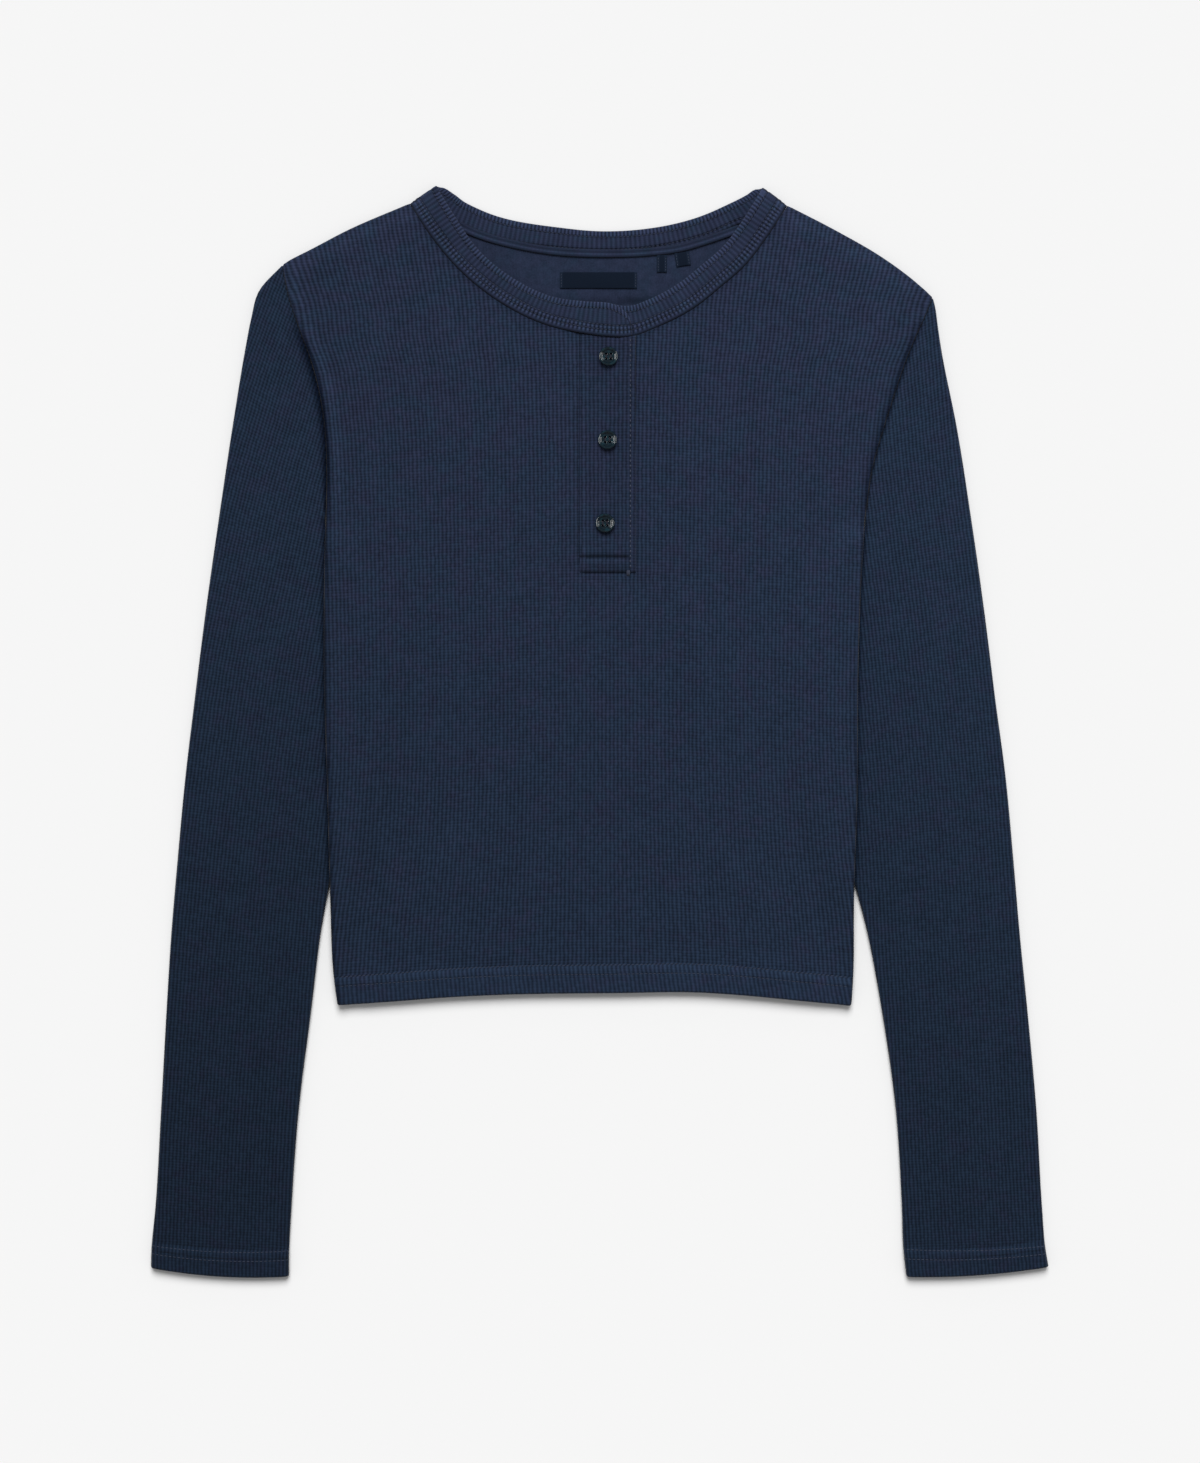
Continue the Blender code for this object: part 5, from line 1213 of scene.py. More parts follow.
def placket_wall(x, y):
    """The strip's thickness: thinner at the fold and in the box's grooves, rounded at its rims."""
    wall = PLACKET * (0.72 + 0.28 * fold_taper(x))
    wall = wall * foot_share(y) - 0.8 * MM * bell(y - PLACKET_GROOVE, 0.9 * MM)
    wall = wall - 0.35 * MM * bell(x - EDGE_STITCH_X, 0.8 * MM)
    wall = wall - 0.12 * MM * bell(x - SLIT_RIGHT - 0.9 * MM, 0.6 * MM)
    rims = rim_share(PLACKET_FREE_EDGE - x, PLACKET * 0.5) * rim_share(y - PLACKET_FOOT, PLACKET * 0.5)
    return wall * rims


def strip_grid(xs, foot, levels):
    """Plan points of a strip: each column runs from the foot to just below the neck seam."""
    y = foot + (FRONT_SEAM.value(xs) - SEAM_GAP - foot)[None] * levels[:, None]
    return np.broadcast_to(xs, y.shape), y


def placket_upper(look):
    """The buttoned strip: columns at set distances across it, each run from the foot to the seam."""
    rims = np.array([0.0, 0.1, 0.3, 0.65, 1.1, 1.7]) * MM
    left = SLIT_RIGHT - HALF_GAP
    xs = left + spaced(rims, 1.1 * MM, PLACKET_FREE_EDGE - left, rims)
    length = FRONT_SEAM.value(3 * MM) - SEAM_GAP - PLACKET_FOOT
    x, y = strip_grid(xs, PLACKET_FOOT, spaced(rims, 1.05 * MM, length) / length)
    # painted shade in the box's groove and under the foot, painted light beside the fold, and painted shade
    # in the stitched groove by the free edge
    box = bell(y - PLACKET_GROOVE, 1.1 * MM) * 0.75 + bell(y - PLACKET_FOOT - 0.3 * MM, 0.8 * MM) * 0.15
    box = box * (1.0 - smoothstep(15.5 * MM, 19.5 * MM, x))
    light = bell(x - SLIT_RIGHT - 2.4 * MM, 0.9 * MM) * 0.16
    tone = 0.96 + light - box - bell(x - EDGE_STITCH_X, 0.9 * MM) * 0.1
    return wall_piece("placket_upper_cloth", *upright(x, y, placket_middle(x, y)), placket_wall(x, y),
                      look, body_grain(x, y), tone=tone)


def placket_under(look):
    """The strip behind it, a plain wall that follows the upper strip's underside."""
    xs = np.linspace(SLIT_RIGHT + SEAM_GAP, SLIT_LEFT - SEAM_GAP, 22)
    x, y = strip_grid(xs, SLIT_FOOT + SEAM_GAP, np.linspace(0.0, 1.0, 72))
    height = front_base(x, y) + placket_rise(x, y) - PLACKET - SEAM_GAP * 1.5
    height = height - 0.5 * MM * (1.0 - fold_taper(x)) - 0.25 * MM
    return wall_piece("placket_under_cloth", *upright(x, y, height), np.full(x.shape, PLACKET * 0.8),
                      look, body_grain(x, y), tone=np.ones(x.shape))


# --- inside of the back neck
TAPE_LINE = table(Spot,  # lower edge of the tape, whose ends lie under the front of the band
    ("right end", -85.5, 301.0), ("at the right of the band", -78.8, 297.6), ("right slope", -67.4, 293.4),
    ("right curve", -52.0, 289.4), ("right of middle", -30.0, 285.6), ("middle", 0.0, 283.9),
    ("left of middle", 28.0, 284.7), ("left curve", 48.0, 287.2), ("left slope", 66.0, 292.4),
    ("at the left of the band", 76.3, 295.9), ("left end", 84.0, 298.8),
)
TAPE_WIDTH = 5 * MM
TAPE_LEVELS = np.array([0.0, 0.02, 0.06, 0.12, 0.2, 0.28, 0.36, 0.44, 0.53, 0.62, 0.7, 0.78, 0.84, 0.9,
                        0.96, 1.0])
LABEL_WALL = 0.6 * MM
SEWN_HEIGHT = KNIT + FACING * 1.5 + SEAM_GAP * 2  # z of the middle of what is sewn on the facing


def flat_piece(name, x, y, height, wall, look, edges, tone):
    """A wall lying flat over plan points, with rims rounded by `edges`, the distance to the rim."""
    thick = wall * rim_share(edges, wall * 0.5)
    return wall_piece(name, *upright(x, y, height), thick, look, np.stack([x, y], axis=-1), tone=tone)


def back_neck_facing(look):
    """A half moon below the back neck seam: its depth follows the cosine of its place across."""
    turn = np.linspace(-1.0, 1.0, 91) * np.pi / 2
    x = FACING_HALF_WIDTH * np.sin(turn)
    top = BACK_SEAM.value(x) - 1 * MM
    ends = top[0] - 2 * MM
    round_edge = ends + (BACK_SEAM.value(0.0) - FACING_DEPTH - ends) * np.cos(turn)
    levels = np.concatenate([[0.0, 0.01, 0.03], np.linspace(0.07, 0.93, 34), [0.95, 0.965, 0.98, 0.99, 1.0]])
    y = blend(round_edge[None], top[None], levels[:, None])
    x = np.broadcast_to(x, y.shape)
    lowest = KNIT + SEAM_GAP + FACING / 2
    height = lowest + 0.12 * MM * np.sin(x / (13 * MM)) * np.sin(y / (9 * MM) + 1.0)
    height = np.maximum(height, lowest - SEAM_GAP * 0.4)
    # painted shadows: a thin line under the back seam, and two soft patches under the front of the band
    # where it stands over the facing
    tone = 1.0 - 0.20 * bell(top[None] - y, 0.8 * MM)
    tone = tone - 0.45 * bell(x - 22 * MM, 9 * MM) * bell(y - 258.5 * MM, 2.6 * MM)
    tone = tone - 0.30 * bell(x + 2 * MM, 16 * MM) * bell(y - 257 * MM, 2.4 * MM)
    return flat_piece("back_neck_jersey", x, y, height, FACING, look, y - round_edge[None], tone)


def neck_tape(look):
    """A narrow tape across the back neck: its lower edge is a curve, its upper one a width above."""
    lower = Path(columns(TAPE_LINE, "x", "y"))
    upper = Path(lower.points + lower.normal(lower.knots, (0.0, 1.0)) * TAPE_WIDTH, lower.knots)
    share = np.linspace(0.0, 1.0, 261)
    low, high = lower.at(share), upper.at(share)
    plan = blend(low[None], high[None], TAPE_LEVELS[:, None, None])
    width = np.linalg.norm(high - low, axis=1)[None]
    edges = np.minimum(TAPE_LEVELS, 1.0 - TAPE_LEVELS)[:, None] * width
    ticks = wave(run_along(high)[None], 2.3 * MM)
    ridge = (bell(TAPE_LEVELS - 0.36, 0.14) + 0.55 * bell(TAPE_LEVELS - 0.84, 0.09))[:, None]
    height = SEWN_HEIGHT + (ridge * 0.2 - 0.1) * MM + 0.08 * MM * (ticks - 0.5)
    # painted light on the tape's two ridges and painted shade at its rims
    tone = 0.66 + 0.75 * ridge * (0.7 + 0.3 * ticks) - 0.15 * bell(edges, 0.5 * MM)
    return flat_piece("neck_tape_cloth", plan[..., 0], plan[..., 1], height, FACING, look, edges, tone)


def on_slab(slab, x, y):
    """Plan points of a label from the distances across and along it."""
    turn = np.radians(slab.angle)
    east = slab.x * MM + x * np.cos(turn) - y * np.sin(turn)
    return east, slab.y * MM + x * np.sin(turn) + y * np.cos(turn)


def label(slab, look):
    """A flat woven label with turned ends; it bows by a cosine each way between its stitches."""
    width, length = slab.width * MM, slab.length * MM
    steps = np.array([0.0, 0.06, 0.2, 0.45]) * MM
    x, y = np.meshgrid(spaced(steps, 0.8 * MM, width, steps) - width / 2,
                       spaced(steps, 0.7 * MM, length, steps) - length / 2)
    edges = np.minimum(width / 2 - np.abs(x), length / 2 - np.abs(y))
    bow = 0.25 * MM * np.cos(x / width * np.pi) * np.cos(y / length * np.pi)
    turned_end = smoothstep(width / 2 - 1.6 * MM, width / 2 - 1.2 * MM, np.abs(x))
    height = SEWN_HEIGHT - (FACING - LABEL_WALL) / 2 + bow
    return flat_piece(f"{slab.name}_cloth", *on_slab(slab, x, y), height, LABEL_WALL, look, edges,
                      1.0 + 0.5 * turned_end)


# --- stitches
HEM_ROWS = (11.4 * MM, 16.9 * MM)  # height of the twin rows above the hem's edge
CUFF_ROWS = (10.8 * MM, 16.5 * MM)
HEM_PITCH = 2.6 * MM
BAR_TACK = (16.8 * MM, 94.2 * MM)
STITCH_SINK = 0.02 * MM  # how far a row lies in the cloth's upper surface
TABLE_CLEARANCE = 0.14 * MM  # least height of a thread's middle above the table


def front_top(x, y):
    return front_middle(x, y) + knit_wall(x, y) / 2


def stitches_along(line, pitch, share=0.74):
    """Starts and ends of stitches along a polyline, one in every pitch, each a share of it long."""
    along = run_along(line)
    starts = np.arange(0.15 * pitch, along[-1] - pitch, pitch)
    return [np.stack([np.interp(at, along, line[:, axis]) for axis in range(3)], axis=1)
            for at in (starts, starts + pitch * share)]


def join_rows(rows):
    return [np.concatenate(ends) for ends in zip(*rows)]


def hem_rows():
    """Twin rows round the hem: on the front's upper side and on the back's lower side."""
    rows = []
    for rise in HEM_ROWS:
        x = np.linspace(-155.5 * MM, 149.5 * MM, 600)
        y = HEM_PATH.value(x) + rise
        under = back_middle(x, y) - knit_wall(x, y) / 2 + TABLE_CLEARANCE
        for z in (front_top(x, y) - STITCH_SINK, under):
            rows.append(stitches_along(np.stack([x, y, z], axis=1), HEM_PITCH))
    return join_rows(rows)


def cuff_rows():
    """Twin rows round both cuffs, on rings between the sleeve's stations."""
    rows = []
    for side in SIDES:
        (layer, _), _, _, runs = sleeve_rings(side)
        for rise in CUFF_ROWS:
            after = int(np.searchsorted(runs, rise))
            part = (rise - runs[after - 1]) / (runs[after] - runs[after - 1])
            ring = blend(layer[after - 1], layer[after], part)
            ring = np.concatenate([ring, ring[:1]])
            ring[:, 2] = np.maximum(ring[:, 2] - STITCH_SINK, TABLE_CLEARANCE)
            rows.append(stitches_along(ring, HEM_PITCH))
    return join_rows(rows)


def band_rows():
    """Rows along the neckband: three on its outer side and two on its inner side."""
    middle, lean, wall, _, uv = band_surface()
    width = uv[-1, :, 1]
    half = lean * (wall[..., None] / 2)
    every = np.arange(len(width))
    rows = []
    for surface, at in ((middle + half, TWIN_GROOVES[0]), (middle + half, TWIN_GROOVES[1]),
                        (middle + half, None), (middle - half, BACK_GROOVE), (middle - half, None)):
        share = (at or width - EDGE_GROOVE) / width
        place = np.interp(share, BAND_LEVELS, np.arange(len(BAND_LEVELS)))
        low = np.minimum(place.astype(int), len(BAND_LEVELS) - 2)
        line = blend(surface[low, every], surface[low + 1, every], (place - low)[:, None])
        line[:, 2] = np.maximum(line[:, 2], TABLE_CLEARANCE)
        rows.append(stitches_along(line[6:-6], TWIN_PITCH if at else EDGE_PITCH, 0.66))
    return join_rows(rows)


def placket_line(x, y):
    z = placket_middle(x, y) + placket_wall(x, y) / 2
    return np.stack([x, y, z], axis=1)


def placket_rows():
    """The row along the free edge and a short bar tack over the foot."""
    y = np.linspace(97.4 * MM, 236 * MM, 500)
    edge_row = stitches_along(placket_line(np.full_like(y, EDGE_STITCH_X), y), 3 * MM, 0.62)
    x = BAR_TACK[0] + np.linspace(-0.6, 0.6, 4) * MM
    low_y = np.full(4, BAR_TACK[1] - 1.2 * MM)
    low = np.stack([x, low_y, front_top(x, low_y) + 0.1 * MM], axis=1)
    return join_rows([edge_row, (low, placket_line(x + 0.12 * MM, low_y + 3.4 * MM))])


def label_rows():
    """Short rows that hold the labels' ends down."""
    rows = []
    height = np.full(40, SEWN_HEIGHT - FACING / 2 + LABEL_WALL)
    for slab in LABELS:
        for end in SIDES:
            x = np.full(40, end * (slab.width / 2 - 0.8) * MM)
            y = np.linspace(-0.46, 0.46, 40) * slab.length * MM
            rows.append(stitches_along(np.stack([*on_slab(slab, x, y), height], axis=1), 1.7 * MM, 0.7))
    return join_rows(rows)


# --- buttons
BUTTON_PROFILE = table(Ring,  # the rim's section, as shares of the button's radius and thickness
    ("edge of the well", 0.60, 0.640), ("foot of the rim", 0.66, 0.700), ("inner shoulder", 0.74, 0.890),
    ("crest", 0.85, 1.000), ("outer shoulder", 0.955, 0.890), ("widest", 1.000, 0.560),
    ("lower side", 0.930, 0.220), ("foot", 0.80, 0.040), ("underside", 0.60, 0.000),
)
PROFILE_STEPS = 33
QUARTER_STEPS = 14  # steps of the rim in a quarter turn
AXIS_STEPS = 6  # steps from the middle of the well to its edge
WELL_DIP = 0.12 * MM  # how far the well's middle lies below its edge
HOLE_SINK = 0.22 * MM  # how far the edge of a hole is rounded down
BUTTON_LIFT = 0.3 * MM  # raises the tilted button clear of the strip
BUTTON_TILT = {"button_1": (-0.09, 0.05), "button_2": (0.09, 0.02), "button_3": (0.095, 0.03)}


def welded(points, faces):
    """Merges points that fall on the same place, to a tenth of a micrometre."""
    keys = np.round(points / 1e-7).astype(np.int64)
    _, first, back = np.unique(keys, axis=0, return_index=True, return_inverse=True)
    return points[first], [back.ravel()[block] for block in faces]


def button_base(spot):
    """z of a button's underside: a clearance above the strip beneath its middle."""
    x, y = np.array([spot.x * MM]), np.array([spot.y * MM])
    return float((front_base(x, y) + PLACKET_RISE + PLACKET / 2 + SEAM_GAP)[0])


def button(spot, look):
    """A turned button with a raised rim and a shallow well pierced by four holes.

    The rim is the profile turned about the axis. Each quarter of the well is a fan of straight
    rays from the edge of its hole to the quarter's border, the same above and below, and each
    hole is a straight tube between them.
    """
    rings = np.array([[ring.radius * BUTTON_RADIUS, ring.height * BUTTON_THICKNESS]
                      for ring in BUTTON_PROFILE])
    section = Path(rings).at(np.linspace(0.0, 1.0, PROFILE_STEPS))
    section[0], section[-1] = rings[0], rings[-1]
    sides = 4 * QUARTER_STEPS
    angles = np.arange(sides) * 2.0 * np.pi / sides
    blocks = [np.stack([section[:, :1] * np.cos(angles), section[:, :1] * np.sin(angles),
                        np.repeat(section[:, 1:], sides, axis=1)], axis=-1)]

    well = rings[0, 0]
    arc = angles[:QUARTER_STEPS + 1]
    axis = np.linspace(0.0, well, AXIS_STEPS + 1)[:, None]
    border = np.concatenate([
        (axis * [1.0, 0.0])[:-1],
        np.stack([np.cos(arc), np.sin(arc)], axis=1) * well,
        (axis * [0.0, 1.0])[1:-1][::-1],
    ])
    hole = np.full(2, BUTTON_HOLE_SPACING / 2)
    rim = hole + unit(border - hole) * BUTTON_HOLE_RADIUS
    part = np.array([0.0, 0.08, 0.3, 0.65, 1.0])[:, None]
    fan = blend(rim[None], border[None], part[..., None])
    for turn in np.arange(4) * np.pi / 2:
        plan = fan @ np.array([[np.cos(turn), np.sin(turn)], [-np.sin(turn), np.cos(turn)]])
        reach = np.linalg.norm(plan, axis=-1)
        top = rings[0, 1] - WELL_DIP * (1.0 - (reach / well) ** 2) - np.where(part == 0.0, HOLE_SINK, 0.0)
        levels = [raised(plan, z) for z in (top, np.zeros_like(top))]
        blocks += [*levels, np.stack([levels[0][0], levels[1][0]])]

    firsts = np.cumsum([0] + [block.shape[0] * block.shape[1] for block in blocks])
    faces = [grid_faces(*block.shape[:2], around=True).reshape(-1, 4) + first
             for block, first in zip(blocks, firsts)]
    points, faces = welded(np.concatenate([block.reshape(-1, 3) for block in blocks]), faces)
    points[:, 2] += points[:, :2] @ BUTTON_TILT[spot.place] + BUTTON_LIFT
    points += np.array([spot.x * MM, spot.y * MM, button_base(spot)])
    made = add_piece(f"{spot.place}_turned", points, faces, look, points[:, :2])
    work = bmesh.new()
    work.from_mesh(made.data)
    bmesh.ops.recalc_face_normals(work, faces=work.faces)
    work.to_mesh(made.data)
    work.free()
    return made


def button_thread_ends():
    """Starts and ends of two upright pairs of threads on each button, from hole to hole."""
    ends = {-1: [], 1: []}
    reach = BUTTON_HOLE_SPACING / 2
    for spot in BUTTONS:
        height = button_base(spot) + BUTTON_LIFT + 0.60 * BUTTON_THICKNESS - 0.25 * MM
        for x in (side * reach + shift for side in SIDES for shift in (-0.17 * MM, 0.17 * MM)):
            for way in SIDES:
                plan = np.array([x, way * reach])
                z = height + plan @ BUTTON_TILT[spot.place]
                ends[way].append([spot.x * MM + plan[0], spot.y * MM + plan[1], z])
    return np.array(ends[-1]), np.array(ends[1])


# --- materials
# painted light: the cloth grows brighter towards +X, the side the light comes from
PAINTED_SIDE_LIGHT = 0.42  # share by which the cloth grows brighter in a metre towards +X
# painted shadow: the dark line beside a seam loses less blue than red, so it stays bluish
PAINTED_SEAM_SHADOW_TINT = (1.0, 0.92, 0.82)  # share of red, green and blue lost in the dark line beside a seam
VIOLET_RISE = 0.45  # share by which the dye grows more violet in a metre towards +Y
# A turned hem: heights of its stitches, lean of its ribs and added light; then the painted falloff of
# light along the piece, a smooth change of brightness given as two values of y and the two shares there.
Hem = namedtuple("Hem", "rows lean light fall")


class Wire:
    """A value in a node tree; plain arithmetic adds one math node at each step."""

    def __init__(self, look, socket):
        self.look, self.socket = look, socket

    def __add__(self, other):
        return self.look.math("ADD", self, other)

    def __sub__(self, other):
        return self.look.math("SUBTRACT", self, other)

    def __rsub__(self, other):
        return self.look.math("SUBTRACT", other, self)

    def __mul__(self, other):
        return self.look.math("MULTIPLY", self, other)

    def __truediv__(self, other):
        return self.look.math("DIVIDE", self, other)


class Look:
    """A procedural material: a thin layer over the node tree that adds nodes by short calls."""

    def __init__(self, name, **sockets):
        self.material = bpy.data.materials.new(name)
        self.material.use_nodes = True
        self.tree = self.material.node_tree
        self.shader = self.tree.nodes["Principled BSDF"]
        for key, value in sockets.items():
            self.shader.inputs[key.replace("_", " ")].default_value = value
        self.place = self.node("ShaderNodeTexCoord", output="Object")

    def plug(self, value, socket):
        if isinstance(value, Wire):
            self.tree.links.new(value.socket, socket)
        else:
            socket.default_value = value

    def node(self, kind, inputs=(), output=0, **settings):
        """A new node with its inputs plugged, by their places or names, and the wire out of it."""
        made = self.tree.nodes.new(kind)
        for key, value in settings.items():
            setattr(made, key, value)
        for key, value in (inputs if isinstance(inputs, dict) else dict(enumerate(inputs))).items():
            self.plug(value, made.inputs[key])
        return Wire(self, made.outputs[output])

    def math(self, operation, *values):
        return self.node("ShaderNodeMath", values, operation=operation)

    def uv(self):
        return self.node("ShaderNodeUVMap", uv_map="UVMap")

    def field(self, name):
        return self.node("ShaderNodeAttribute", output="Fac", attribute_name=name)

    def split(self, vector):
        first = self.node("ShaderNodeSeparateXYZ", (vector,))
        return [Wire(self, socket) for socket in first.socket.node.outputs]

    def join(self, *values):
        return self.node("ShaderNodeCombineXYZ", values)

    def noise(self, scale, detail):
        settings = {"Vector": self.place, "Scale": scale, "Detail": detail}
        return self.node("ShaderNodeTexNoise", settings, "Fac")

    def remap(self, value, low, high, to_low=0.0, to_high=1.0):
        """A smooth S from to_low to to_high as the value goes from low to high."""
        return self.node("ShaderNodeMapRange", (value, low, high, to_low, to_high),
                         interpolation_type="SMOOTHSTEP")

    def mix(self, factor, first, second):
        return self.node("ShaderNodeMix", {0: factor, 6: first, 7: second}, 2, data_type="RGBA")

    def wave(self, length, pitch):
        """0 to 1 and back once in every pitch: half of 1 + cos(2 pi length / pitch)."""
        return self.math("COSINE", length * (2.0 * np.pi / pitch)) * 0.5 + 0.5

    def bell(self, value, width):
        """exp(-(value / width)^2)"""
        part = value * (1.0 / width)
        return self.math("POWER", np.e, part * part * -1.0)

    def finish(self, colour, height=None, distance=0.0, strength=0.5):
        self.plug(colour, self.shader.inputs["Base Color"])
        if height is not None:
            relief = {"Strength": strength, "Distance": distance, "Height": height}
            self.plug(self.node("ShaderNodeBump", relief), self.shader.inputs["Normal"])
        return self.material


def colour4(values):
    return (*values, 1.0)


def tinted(look, colour, tone):
    """The colour times the tone, and times a painted side light: brightness that rises slowly from the right
    to the left.
    """
    scale = tone * (look.split(look.place)[0] * PAINTED_SIDE_LIGHT + 1.0)
    return look.node("ShaderNodeVectorMath", {0: colour, "Scale": scale}, operation="SCALE")


def mottled(look, blue, violet, scale, rise=VIOLET_RISE):
    """Blue and violet dye mixed by a soft noise, the finer part of it at three times the scale.

    The violet's share grows towards the shoulders.
    """
    noise = look.noise(scale * 3.1, 1.0) * 0.45 + look.noise(scale, 2.0) * 0.55
    share = look.split(look.place)[1] * rise + noise
    return look.mix(look.remap(share, 0.40, 0.72), colour4(blue), colour4(violet))


def knit_look(name, knit, blue, violet, rib, row, hem=None, violet_rise=VIOLET_RISE):
    """Waffle knit: ribs are a wave across the cloth and rows a wave along it.

    Both sink the pits between them, in the relief and as painted shade in the colour, with
    lighter crests. In a turned hem the rows fade, the ribs lean, and twin grooves cross them.
    Each cell has its own small difference of brightness. For the body and sleeves the colour also
    takes a painted falloff of light along y and a painted shadow beside the seams.
    """
    look = Look(name, Roughness=0.92, Specular_IOR_Level=knit.gloss, Sheen_Weight=knit.sheen,
                Sheen_Roughness=0.45)
    u, v, _ = look.split(look.uv())
    u = (look.noise(170.0, 1.0) - 0.5) * (0.9 * MM) + u
    v = (look.noise(140.0, 1.0) - 0.5) * (0.8 * MM) + v
    rib_shade, row_shade = knit.rib_painted_shade, knit.row_painted_shade
    if hem:
        rise = look.field("rise")
        low, high = hem.rows
        turned = look.remap(rise, high - 1 * MM, high + 1 * MM, 1.0, 0.0)
        ticks = turned * look.remap(rise, low - 0.6 * MM, low + 0.6 * MM)
        u = u + rise * turned * hem.lean
        ragged = look.noise(260.0, 1.0) * (1.2 * MM) + (rise - 0.6 * MM)
        upper = look.bell(ragged - high, 0.62 * MM) * 0.4
        grooves = look.math("MAXIMUM", look.bell(ragged - low, 0.62 * MM), upper)
        rib_shade = ticks * 0.12 + rib_shade
        row_shade = (1.0 - turned * 0.65) * row_shade
    ribs, rows = look.wave(u, rib), look.wave(v, row)
    cell_x, cell_y = (look.math("FLOOR", at * (1.0 / size) + 0.5) for at, size in ((u, rib), (v, row)))
    cell = look.node("ShaderNodeTexWhiteNoise", {"Vector": look.join(cell_x, cell_y)}, "Value",
                     noise_dimensions="2D")
    patch, fibre = look.noise(95.0, 2.0), look.noise(1500.0, 2.0)
    # ribs and rows as painted shade: lighter crests, darker pits
    tone = (ribs - 0.5) * rib_shade + (rows - 0.5) * row_shade + (cell - 0.5) * knit.cell_contrast
    tone = tone + (patch - 0.5) * 0.22 + fibre * 0.4 + 0.8
    height = ribs * 0.6 + rows * 0.22 + fibre * 0.15
    if hem:
        # the turned hem and its ticks a little lighter, with painted shade in the stitched grooves
        tone = tone + turned * hem.light + ticks * 0.08 - grooves * 0.15
        # painted falloff of the light along y
        tone = tone * look.remap(look.split(look.place)[1], *hem.fall)
        height = height - grooves * 0.8
    tone = look.math("MAXIMUM", tone, 0.03) * look.field("tone")
    colour = tinted(look, mottled(look, blue, violet, 70.0, violet_rise), tone)
    # painted shadow beside the seams, from the seam, spread and depth fields
    if hem:
        line = look.bell(look.field("seam") / look.field("spread"), 1.0) * look.field("depth")
        kept = look.join(*(1.0 - line * share for share in PAINTED_SEAM_SHADOW_TINT))
        colour = look.node("ShaderNodeVectorMath", (colour, kept), operation="MULTIPLY")
    return look.finish(colour, height, knit.relief, 0.8)


def band_look(name, blue, violet, gloss, sheen):
    """Ribbed band: its ribs and stitched rows are real relief, so only fibre and tone are added; the tone
    field paints light and shade over that relief.
    """
    look = Look(name, Roughness=0.92, Specular_IOR_Level=gloss, Sheen_Weight=sheen, Sheen_Roughness=0.45)
    fibre, patch = look.noise(1500.0, 2.0), look.noise(110.0, 2.0)
    loops = look.wave(look.split(look.uv())[1], 1.3 * MM)
    tone = fibre * 0.5 + loops * 0.10 + (patch - 0.5) * 0.5 + 0.70
    tone = tone * look.math("MAXIMUM", look.field("tone"), 0.15)
    colour = tinted(look, mottled(look, blue, violet, 90.0), tone)
    return look.finish(colour, fibre + loops * 0.4, 0.12 * MM, 0.6)


def jersey_look(name, blue, violet, gloss, sheen):
    """Smooth single jersey: fine wales under a millimetre apart and a soft mottling."""
    look = Look(name, Roughness=0.85, Specular_IOR_Level=gloss, Sheen_Weight=sheen, Sheen_Roughness=0.4)
    wales = look.wave(look.split(look.uv())[0], 0.9 * MM)
    fibre, patch = look.noise(1200.0, 2.0), look.noise(240.0, 2.0)
    tone = (fibre * 0.8 + wales * 0.16 + (patch - 0.5) * 0.6 + 0.52) * look.field("tone")
    colour = tinted(look, mottled(look, blue, violet, 60.0), tone)
    return look.finish(colour, wales + fibre, 0.08 * MM)


def woven_look(name, base, gloss):
    """Satin label: a fine over-and-under weave with turned ends a little lighter."""
    look = Look(name, Roughness=0.7, Specular_IOR_Level=gloss)
    u, v, _ = look.split(look.uv())
    weave = look.wave(u, 0.5 * MM) * look.wave(v, 0.42 * MM)
    tone = (weave * 0.5 + look.noise(1800.0, 1.0) * 0.3 + 0.6) * look.field("tone")
    return look.finish(tinted(look, tuple(base), tone), weave, 0.06 * MM)


def thread_look(name, base):
    """Twisted thread: slanting plies across it."""
    look = Look(name, Roughness=0.7, Specular_IOR_Level=0.2, Sheen_Weight=0.1)
    x, y, z = look.split(look.place)
    ply = look.wave(x + y + z, 0.5 * MM)
    tone = ply * 0.5 + 0.5 + look.noise(2200.0, 1.0) * 0.4
    return look.finish(tinted(look, tuple(base), tone), ply, 0.05 * MM, 0.4)


def resin_look(name, base, glint, roughness):
    """Polished resin with a cloudy depth: two close colours mixed by a soft noise."""
    look = Look(name, Roughness=roughness, Specular_IOR_Level=0.38)
    share = look.remap(look.noise(420.0, 3.0), 0.42, 0.66)
    return look.finish(look.mix(share, colour4(base), colour4(glint)))


def floor_look(name, base):
    """Matt paper floor with a barely visible grain in its surface."""
    look = Look(name, Roughness=0.95, Specular_IOR_Level=0.0)
    return look.finish(colour4(base), look.noise(900.0, 1.0), 0.02 * MM, 0.05)


# --- stage
IMAGE_WIDTH, IMAGE_HEIGHT = 1200, 1463  # size of the rendered image
FRAME_WIDTH = 0.720  # width of the table that the camera frames
SENSOR = 36.0
FLOOR_HALF, FLOOR_CELLS = 20.0, 8
FLOOR_Z = -0.1 * MM
GLINT_PANEL = (1.3, 0.35)  # size of each glint light
GLINT_PLACE = (1.3, 0.25, 0.75)
LEFT_GLINT = 0.6  # power of the left glint light, beside the right one's


def flat_floor(half, z, look):
    """A square sheet of floor; its grid is a few large cells."""
    steps = np.linspace(-half, half, FLOOR_CELLS + 1)
    x, y = np.meshgrid(steps, steps)
    points = np.stack([x, y, np.full_like(x, z)], axis=-1).reshape(-1, 3)
    return add_piece("floor", points, [grid_faces(len(steps), len(steps)).reshape(-1, 4)], look)


